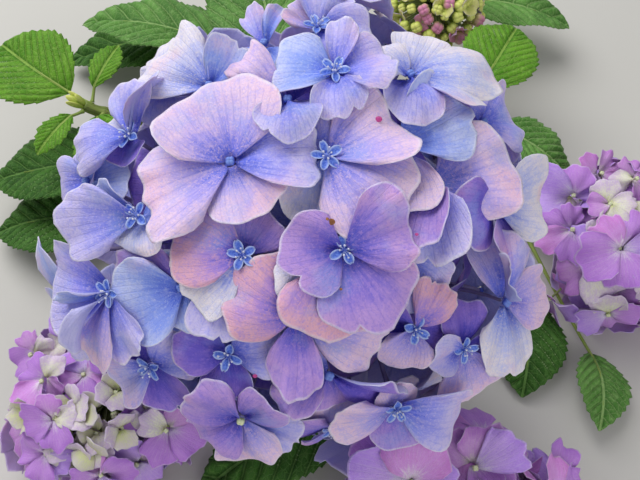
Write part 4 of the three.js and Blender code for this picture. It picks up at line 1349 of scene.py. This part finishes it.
class Look:
    """A material with one lit surface, and short names for the nodes that pattern it."""

    def __init__(self, name, colour, roughness, specular, through=0.0, depth=0.0015):
        self.made = bpy.data.materials.new(name)
        self.made.use_nodes = True
        self.tree = self.made.node_tree
        self.tree.nodes.clear()
        self.surface = self.tree.nodes.new("ShaderNodeBsdfPrincipled")
        self.colour = rgb(*colour)
        output = self.tree.nodes.new("ShaderNodeOutputMaterial")
        self.tree.links.new(self.surface.outputs["BSDF"], output.inputs["Surface"])
        for key, value in (("Roughness", roughness), ("Specular IOR Level", specular),
                           ("Subsurface Weight", through), ("Subsurface Scale", depth),
                           ("Subsurface Radius", (1.0, 0.8, 0.9))):
            self.put(self.surface.inputs[key], value)

    def node(self, kind, inputs, **settings):
        node = self.tree.nodes.new(kind)
        for key, value in settings.items():
            setattr(node, key, value)
        for key, value in inputs.items():
            self.put(node.inputs[key], value)
        return node

    def put(self, socket, value):
        if isinstance(value, Value):
            value = value.socket
        if isinstance(value, bpy.types.NodeSocket):
            self.tree.links.new(value, socket)
        else:
            socket.default_value = value

    def value(self, kind, inputs, output=0, **settings):
        return Value(self, self.node(kind, inputs, **settings).outputs[output])

    def math(self, operation, a, b=0.0):
        return self.value("ShaderNodeMath", {0: a, 1: b}, operation=operation)

    def most(self, a, b):
        return self.math("MAXIMUM", a, b)

    def step(self, low, high, x):
        inputs = {"Value": x, "From Min": low, "From Max": high}
        return self.value("ShaderNodeMapRange", inputs, "Result", interpolation_type="SMOOTHSTEP")

    def over(self, colour, share):
        """Mixes a share of a colour into the look's own."""
        node = self.node("ShaderNodeMix", {0: share}, data_type="RGBA")
        first, second = (socket for socket in node.inputs if socket.type == "RGBA")
        self.put(first, self.colour)
        self.put(second, rgb(*colour))
        self.colour = next(socket for socket in node.outputs if socket.type == "RGBA")

    def parts(self, vector):
        return [Value(self, part) for part in self.node("ShaderNodeSeparateXYZ", {0: vector}).outputs]

    def spot(self):
        return self.parts(self.node("ShaderNodeAttribute", {}, attribute_name="spot").outputs["Vector"])

    def place(self):
        return self.node("ShaderNodeTexCoord", {}).outputs["Object"]

    def join(self, x, y, z=0.0):
        return self.node("ShaderNodeCombineXYZ", {0: x, 1: y, 2: z}).outputs[0]

    def noise(self, vector, scale, detail=3.0, rough=0.55):
        inputs = {"Vector": vector, "Scale": scale, "Detail": detail, "Roughness": rough}
        return self.value("ShaderNodeTexNoise", inputs)

    def grain(self, scale, detail=3.0, rough=0.55):
        return self.noise(self.place(), scale, detail, rough)

    def cells(self, vector, scale=1.0, feature="DISTANCE_TO_EDGE"):
        inputs = {"Vector": vector, "Scale": scale}
        return self.value("ShaderNodeTexVoronoi", inputs, "Distance", feature=feature)

    def finish(self, height=None, far=0.0, strength=1.0):
        self.put(self.surface.inputs["Base Color"], self.colour)
        if height is not None:
            inputs = {"Height": height, "Distance": far, "Strength": strength}
            self.put(self.surface.inputs["Normal"], self.node("ShaderNodeBump", inputs).outputs[0])
        return self.made


RIM = (246, 243, 251)
FLUSH = (241, 184, 206)
COOL = (150, 178, 246)


def sepal_look(name, edge, middle, base, base_reach=0.55, rim=0.5, flushed=0.5, cooled=0.4):
    """Colour that runs out along the veins, mottled and finely veined, with a pale rim."""
    look = Look(name, base, 0.5, 0.28, 0.15, 0.0016)
    far, across, seed = look.spot()
    streak = look.noise(look.join(across * 9.0 + seed * 50.0, far * 1.2, seed * 3.7), 1.0, 5.0, 0.65)
    blotch = look.grain(90.0) - 0.5
    shift = (streak - 0.5) * 0.95
    look.over(middle, look.step(0.0, base_reach, far + shift))
    look.over(edge, look.step(0.36, 0.92, far + blotch * 1.1 + shift * 0.55))
    # veins that fan out from the base and join in a net
    veins = look.math("PINGPONG", across * (far * 0.5 + 0.5) * 8.0 + streak * 0.8, 0.5)
    veins = look.step(0.16, 0.0, veins)
    net = look.step(0.2, 0.0, look.cells(look.join(across * 19.0 + blotch * 2.0, far * 19.0, seed)))
    lines = look.most(veins * 0.9, net * 0.45)
    look.over(base, lines * look.step(1.0, 0.75, far) * 0.26)
    flush = look.step(0.50, 0.70, look.grain(48.0, 2.0)) * look.step(0.30, 0.95, far + shift * 0.5)
    look.over(FLUSH, flush * flushed)
    look.over(COOL, look.step(0.50, 0.30, look.grain(62.0)) * cooled)
    # mottling, from blots a few millimetres wide down to specks
    mottle = look.grain(330.0, 4.0, 0.7)
    speck = look.grain(1300.0, 2.0, 0.6)
    look.over(edge, look.step(0.48, 0.72, mottle) * 0.42)
    look.over(middle, look.step(0.50, 0.34, mottle) * 0.5)
    look.over(edge, look.step(0.50, 0.70, speck) * 0.48)
    look.over(middle, look.step(0.48, 0.30, speck) * 0.44)
    look.over(RIM, look.step(0.945, 0.99, far) * look.step(0.22, 0.52, streak) * rim)
    return look.finish(lines * -0.5 + mottle * 0.5 + speck * 0.4, 0.00036, 0.8)


def plain_look(name, light, dark, scale, roughness=0.5):
    """Two shades mixed by a soft mottle, with a slight grain."""
    look = Look(name, light, roughness, 0.3, 0.15, 0.001)
    grain = look.grain(4.0 * scale)
    look.over(dark, look.step(0.36, 0.64, look.grain(scale)))
    look.over(dark, look.step(0.5, 0.8, grain) * 0.35)
    return look.finish(grain, 0.00008, 0.6)


def petal_look(name, hollow, light, rim):
    """A deep colour in the hollow of the little petals, with a pale rim."""
    look = Look(name, hollow, 0.42, 0.35, 0.15, 0.0008)
    far, across = look.spot()[:2]
    mottle = look.grain(1500.0, 2.0)
    look.over(light, look.step(0.3, 0.7, mottle))
    edge = look.most(look.step(0.45, 1.0, look.math("ABSOLUTE", across)), look.step(0.78, 1.0, far))
    look.over(rim, edge * 0.8)
    return look.finish(mottle, 0.00005, 0.6)


def bud_look(name, base, tip):
    """Colour that changes from the foot of a bead to its tip."""
    look = Look(name, base, 0.42, 0.35, 0.2, 0.001)
    mottle = look.grain(900.0, 2.0)
    look.over(tip, look.step(0.3, 0.9, look.spot()[0] + (mottle - 0.5) * 0.5))
    return look.finish(mottle, 0.00005, 0.6)


def stem_look(name, light, dark, fleck, scale=1.0):
    """Lengthwise streaks and small raised flecks. The places along and around are in millimetres."""
    look = Look(name, light, 0.48, 0.3, 0.08, 0.001)
    far, around, seed = look.spot()
    streak = look.noise(look.join(far * (0.06 * scale), around * (0.9 * scale), seed), 1.0, 4.0)
    flecks = look.cells(look.join(far * (0.28 * scale), around * (0.8 * scale), seed), feature="F1")
    flecks = look.step(0.22, 0.10, flecks)
    look.over(dark, look.step(0.32, 0.68, streak))
    look.over(fleck, flecks * 0.75)
    return look.finish(flecks * 0.8 + streak * 0.5 + look.grain(900.0) * 0.3, 0.00022, 0.7)


def bark_look(name, light, dark, green, pore, deep):
    """Outer bark with long cracks, pale pores and patches of green film."""
    look = Look(name, light, 0.82, 0.2)
    far, around, seed = look.spot()
    fibre = look.noise(look.join(far * 0.10, around * 1.5, seed), 1.0, 6.0, 0.62)
    crack = look.cells(look.join(far * 0.045, around * 0.62, seed))
    crack = look.step(0.06, 0.0, crack + (fibre - 0.5) * 0.08)
    pores = look.step(0.16, 0.07, look.cells(look.join(far * 0.22, around * 0.5, 4.0), feature="F1"))
    look.over(dark, look.step(0.3, 0.7, fibre))
    look.over(green, look.step(0.52, 0.72, look.grain(60.0)) * 0.55)
    look.over(pore, pores * 0.75)
    look.over(deep, crack * 0.85)
    return look.finish(fibre * 0.7 + crack * -1.0 + pores * 0.5, 0.0005, 0.8)


def cut_look(name, light, ring, ray, rind, pith):
    """A fresh cut: pale wood with fine rings and rays round a soft white pith. Its sizes are in metres."""
    look = Look(name, light, 0.75, 0.2)
    centre = tuple((np.array(CANE_CUT) - ORIGIN) * MM)
    away = look.node("ShaderNodeVectorMath", {0: look.place(), 1: centre}, operation="SUBTRACT").outputs[0]
    reach = look.value("ShaderNodeVectorMath", {0: away}, "Value", operation="LENGTH")
    across, _, up = look.parts(away)
    wavy = reach + look.grain(500.0) * 0.0006
    rings = look.step(0.0001, 0.00055, look.math("PINGPONG", wavy, 0.00055))
    rays = look.noise(look.join(look.math("ARCTAN2", up, across) * 22.0, reach * 300.0), 1.0)
    look.over(ring, rings * 0.7)
    look.over(ray, look.step(0.5, 0.75, rays) * 0.5)
    look.over(rind, look.step(0.0064, 0.0070, reach))
    look.over(pith, look.step(0.0022, 0.0018, wavy))
    return look.finish(rays * 0.6 + rings * -0.4, 0.0002, 0.7)


def leaf_look(name, light, dark, painted_shade, vein, gloss=0.42):
    """Pale veins edged with painted shade where they sink in, and a net of small veins between them."""
    look = Look(name, light, gloss, 0.16, 0.06, 0.001)
    far, across, count = look.spot()
    flat = look.join(far, across)
    wander = look.noise(flat, 0.35, 2.0) * 1.6
    moved = look.join(far + wander, across + wander)
    net = look.step(0.11, 0.0, look.cells(moved, 0.34))
    small = look.step(0.12, 0.0, look.cells(moved, 0.95))
    grain = look.grain(1100.0)
    look.over(dark, look.step(0.34, 0.66, look.grain(55.0)))
    look.over(dark, look.step(0.5, 0.75, grain) * 0.3)
    look.over(vein, net * 0.34)
    look.over(vein, small * 0.14)
    # the count of side veins is whole on each vein; the midrib runs where across is nothing
    gap = look.math("PINGPONG", count + (look.noise(flat, 0.12, 2.0) - 0.5) * 0.12, 0.5)
    side = look.math("ABSOLUTE", across)
    line = look.most(look.step(0.075, 0.03, gap) * 0.7, look.step(0.85, 0.5, side))
    # painted shade along the flanks of the side veins and the midrib, where the blade dips between its
    # puffs
    look.over(painted_shade, look.most(look.step(0.24, 0.03, gap), look.step(2.4, 0.7, side)) * 0.6)
    look.over(vein, line * 0.75)
    return look.finish(net * -0.9 + small * -0.35 + grain * 0.25 + line * -0.6, 0.00035, 0.8)


# Tones of the sepals: at the edge, half way and at the base
TONES = {
    "pink": ((242, 209, 236), (188, 172, 245), (86, 106, 228)),
    "salmon": ((240, 182, 202), (184, 146, 226), (80, 92, 220)),
    "lilac": ((213, 202, 250), (158, 158, 248), (74, 98, 232)),
    "blue": ((198, 206, 252), (144, 166, 251), (76, 108, 236)),
    "pale": ((243, 233, 243), (196, 200, 250), (90, 120, 240)),
    "violet": ((158, 126, 220), (112, 94, 210), (54, 62, 190)),
    # a darker violet for the sepals that lie in shade, low in the bloom and under others: partly painted
    # shade over their own violet
    "dusk": ((196, 158, 228), (144, 122, 222), (60, 76, 208)),
}
YOUNG_TONES = {
    "young_mauve": ((190, 128, 226), (204, 146, 232), (238, 226, 244)),
    "young_pink": ((218, 140, 224), (224, 158, 238), (246, 236, 248)),
    "young_lilac": ((190, 146, 242), (208, 170, 246), (240, 230, 250)),
    "young_blush": ((196, 130, 216), (212, 160, 226), (240, 236, 220)),
    "young_cream": ((224, 200, 232), (250, 247, 226), (230, 236, 158)),
    "young_bract": ((236, 230, 150), (218, 226, 118), (180, 200, 80)),
    "young_bract_pink": ((226, 140, 178), (232, 164, 188), (220, 206, 150)),
    "young_lime": ((222, 212, 210), (228, 232, 172), (190, 208, 108)),
}
UNDER_TONES = {
    "under": ((196, 192, 240), (176, 174, 236), (140, 150, 228)),
    "under_young": ((192, 164, 222), (196, 166, 214), (214, 208, 204)),
}
# The other looks: what makes each, and its colours and measures
OTHER_LOOKS = {
    "filament": (plain_look, (190, 200, 240), (150, 165, 225), 800.0),
    "anther": (plain_look, (232, 232, 244), (196, 200, 232), 1500.0, 0.7),
    "eye": (plain_look, (120, 140, 220), (60, 80, 180), 700.0),
    "petal": (petal_look, (66, 98, 206), (112, 144, 232), (196, 212, 250)),
    "mark_pink": (plain_look, (216, 96, 168), (190, 70, 140), 900.0),
    "mark_brown": (plain_look, (176, 120, 72), (130, 82, 52), 900.0),
    "bud": (bud_look, (58, 78, 186), (120, 146, 226)),
    "bud_green": (bud_look, (176, 196, 116), (228, 234, 190)),
    "bud_lime": (bud_look, (168, 190, 76), (224, 228, 124)),
    "bud_pink": (bud_look, (196, 190, 120), (216, 138, 172)),
    "stalk": (stem_look, (150, 138, 176), (118, 104, 146), (176, 164, 190), 2.0),
    "stalk_green": (stem_look, (164, 178, 112), (130, 146, 90), (186, 160, 160), 2.0),
    "stem": (stem_look, (138, 154, 78), (104, 122, 58), (110, 84, 74)),
    "petiole": (stem_look, (158, 178, 92), (124, 148, 66), (146, 118, 96), 1.6),
    "bark": (bark_look, (150, 124, 88), (104, 82, 56), (112, 116, 66), (186, 168, 132), (62, 47, 33)),
    "cut_wood": (
        cut_look, (226, 206, 156), (196, 170, 116), (176, 148, 98), (150, 152, 92), (240, 234, 214)),
    "leaf_young": (leaf_look, (112, 168, 48), (76, 136, 24), (34, 88, 6), (160, 196, 92)),
    "leaf_full": (leaf_look, (106, 158, 74), (76, 126, 52), (44, 92, 26), (160, 194, 122)),
    "leaf_old": (leaf_look, (72, 120, 46), (46, 90, 28), (22, 56, 12), (116, 158, 82), 0.5),
    "leaf_under": (leaf_look, (132, 164, 104), (112, 146, 90), (98, 130, 78), (164, 188, 134), 0.65),
}


def make_looks():
    looks = {name: sepal_look(name, *tones) for name, tones in TONES.items()}
    for name, tones in YOUNG_TONES.items():
        looks[name] = sepal_look(name, *tones, base_reach=0.38, rim=0.35, flushed=0.12, cooled=0.0)
    for name, tones in UNDER_TONES.items():
        looks[name] = sepal_look(name, *tones, rim=0.3)
    for name, (make, *facts) in OTHER_LOOKS.items():
        looks[name] = make(name, *facts)
    return looks


LOOKS = make_looks()


# The stage: floor, light and camera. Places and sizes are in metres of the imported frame

FLOOR_REACH = 3.0
FLOOR_TONES = ((206, 204, 198), (200, 198, 192))
LIGHTS = {  # place, size and power
    "key": ((-0.42, 0.42, 0.95), 1.1, 10.5),
    "fill": ((0.35, -0.85, 0.5), 0.9, 2.6),
}
SKY_COLOUR, SKY_LIGHT = (0.95, 0.97, 1.0, 1.0), 0.36
CAMERA_NEAR = 0.01


def staged(name, data):
    thing = bpy.data.objects.new(name, data)
    bpy.context.scene.collection.objects.link(thing)
    return thing


def make_stage():
    r = FLOOR_REACH
    floor = bpy.data.meshes.new("floor")
    floor.from_pydata([(-r, -r, 0), (r, -r, 0), (r, r, 0), (-r, r, 0)], [], [(0, 1, 2, 3)])
    look = Look("floor", FLOOR_TONES[0], 0.9, 0.1)
    look.over(FLOOR_TONES[1], look.grain(6.0, 4.0))
    floor.materials.append(look.finish())
    staged("floor", floor)
    for name, (place, size, power) in LIGHTS.items():
        light = bpy.data.lights.new(name, "AREA")
        light.shape = "DISK"
        light.size = size
        light.energy = power
        lamp = staged(name, light)
        lamp.location = place
        lamp.rotation_euler = (-Vector(place)).to_track_quat("-Z", "Y").to_euler()
    world = bpy.data.worlds.new("soft_sky")
    bpy.context.scene.world = world
    world.use_nodes = True
    sky = world.node_tree.nodes["Background"]
    sky.inputs["Color"].default_value = SKY_COLOUR
    sky.inputs["Strength"].default_value = SKY_LIGHT
    bpy.context.scene.view_settings.view_transform = "Standard"
    seen = bpy.data.cameras.new("camera")
    seen.lens = CAMERA_LENS
    seen.sensor_width = CAMERA_SENSOR
    seen.clip_start = CAMERA_NEAR
    camera = staged("camera", seen)
    camera.location = (np.array(CAMERA_PLACE) - ORIGIN) * MM
    camera.rotation_euler = (math.radians(90 - CAMERA_DOWN), 0, 0)
    bpy.context.scene.camera = camera


# The whole branch

large_bloom()
for bloom_name, bloom in YOUNG_BLOOMS.items():
    grow_bloom = young_bloom if "seen" in bloom else budding_bloom
    grow_bloom(bloom_name, **bloom)
cane_curve = make_cane()
limb_curves = make_shoots(cane_curve)
for leaf_name, leaf_facts in LEAVES.items():
    leaf(leaf_name, limb_curves, *leaf_facts)
make_stage()
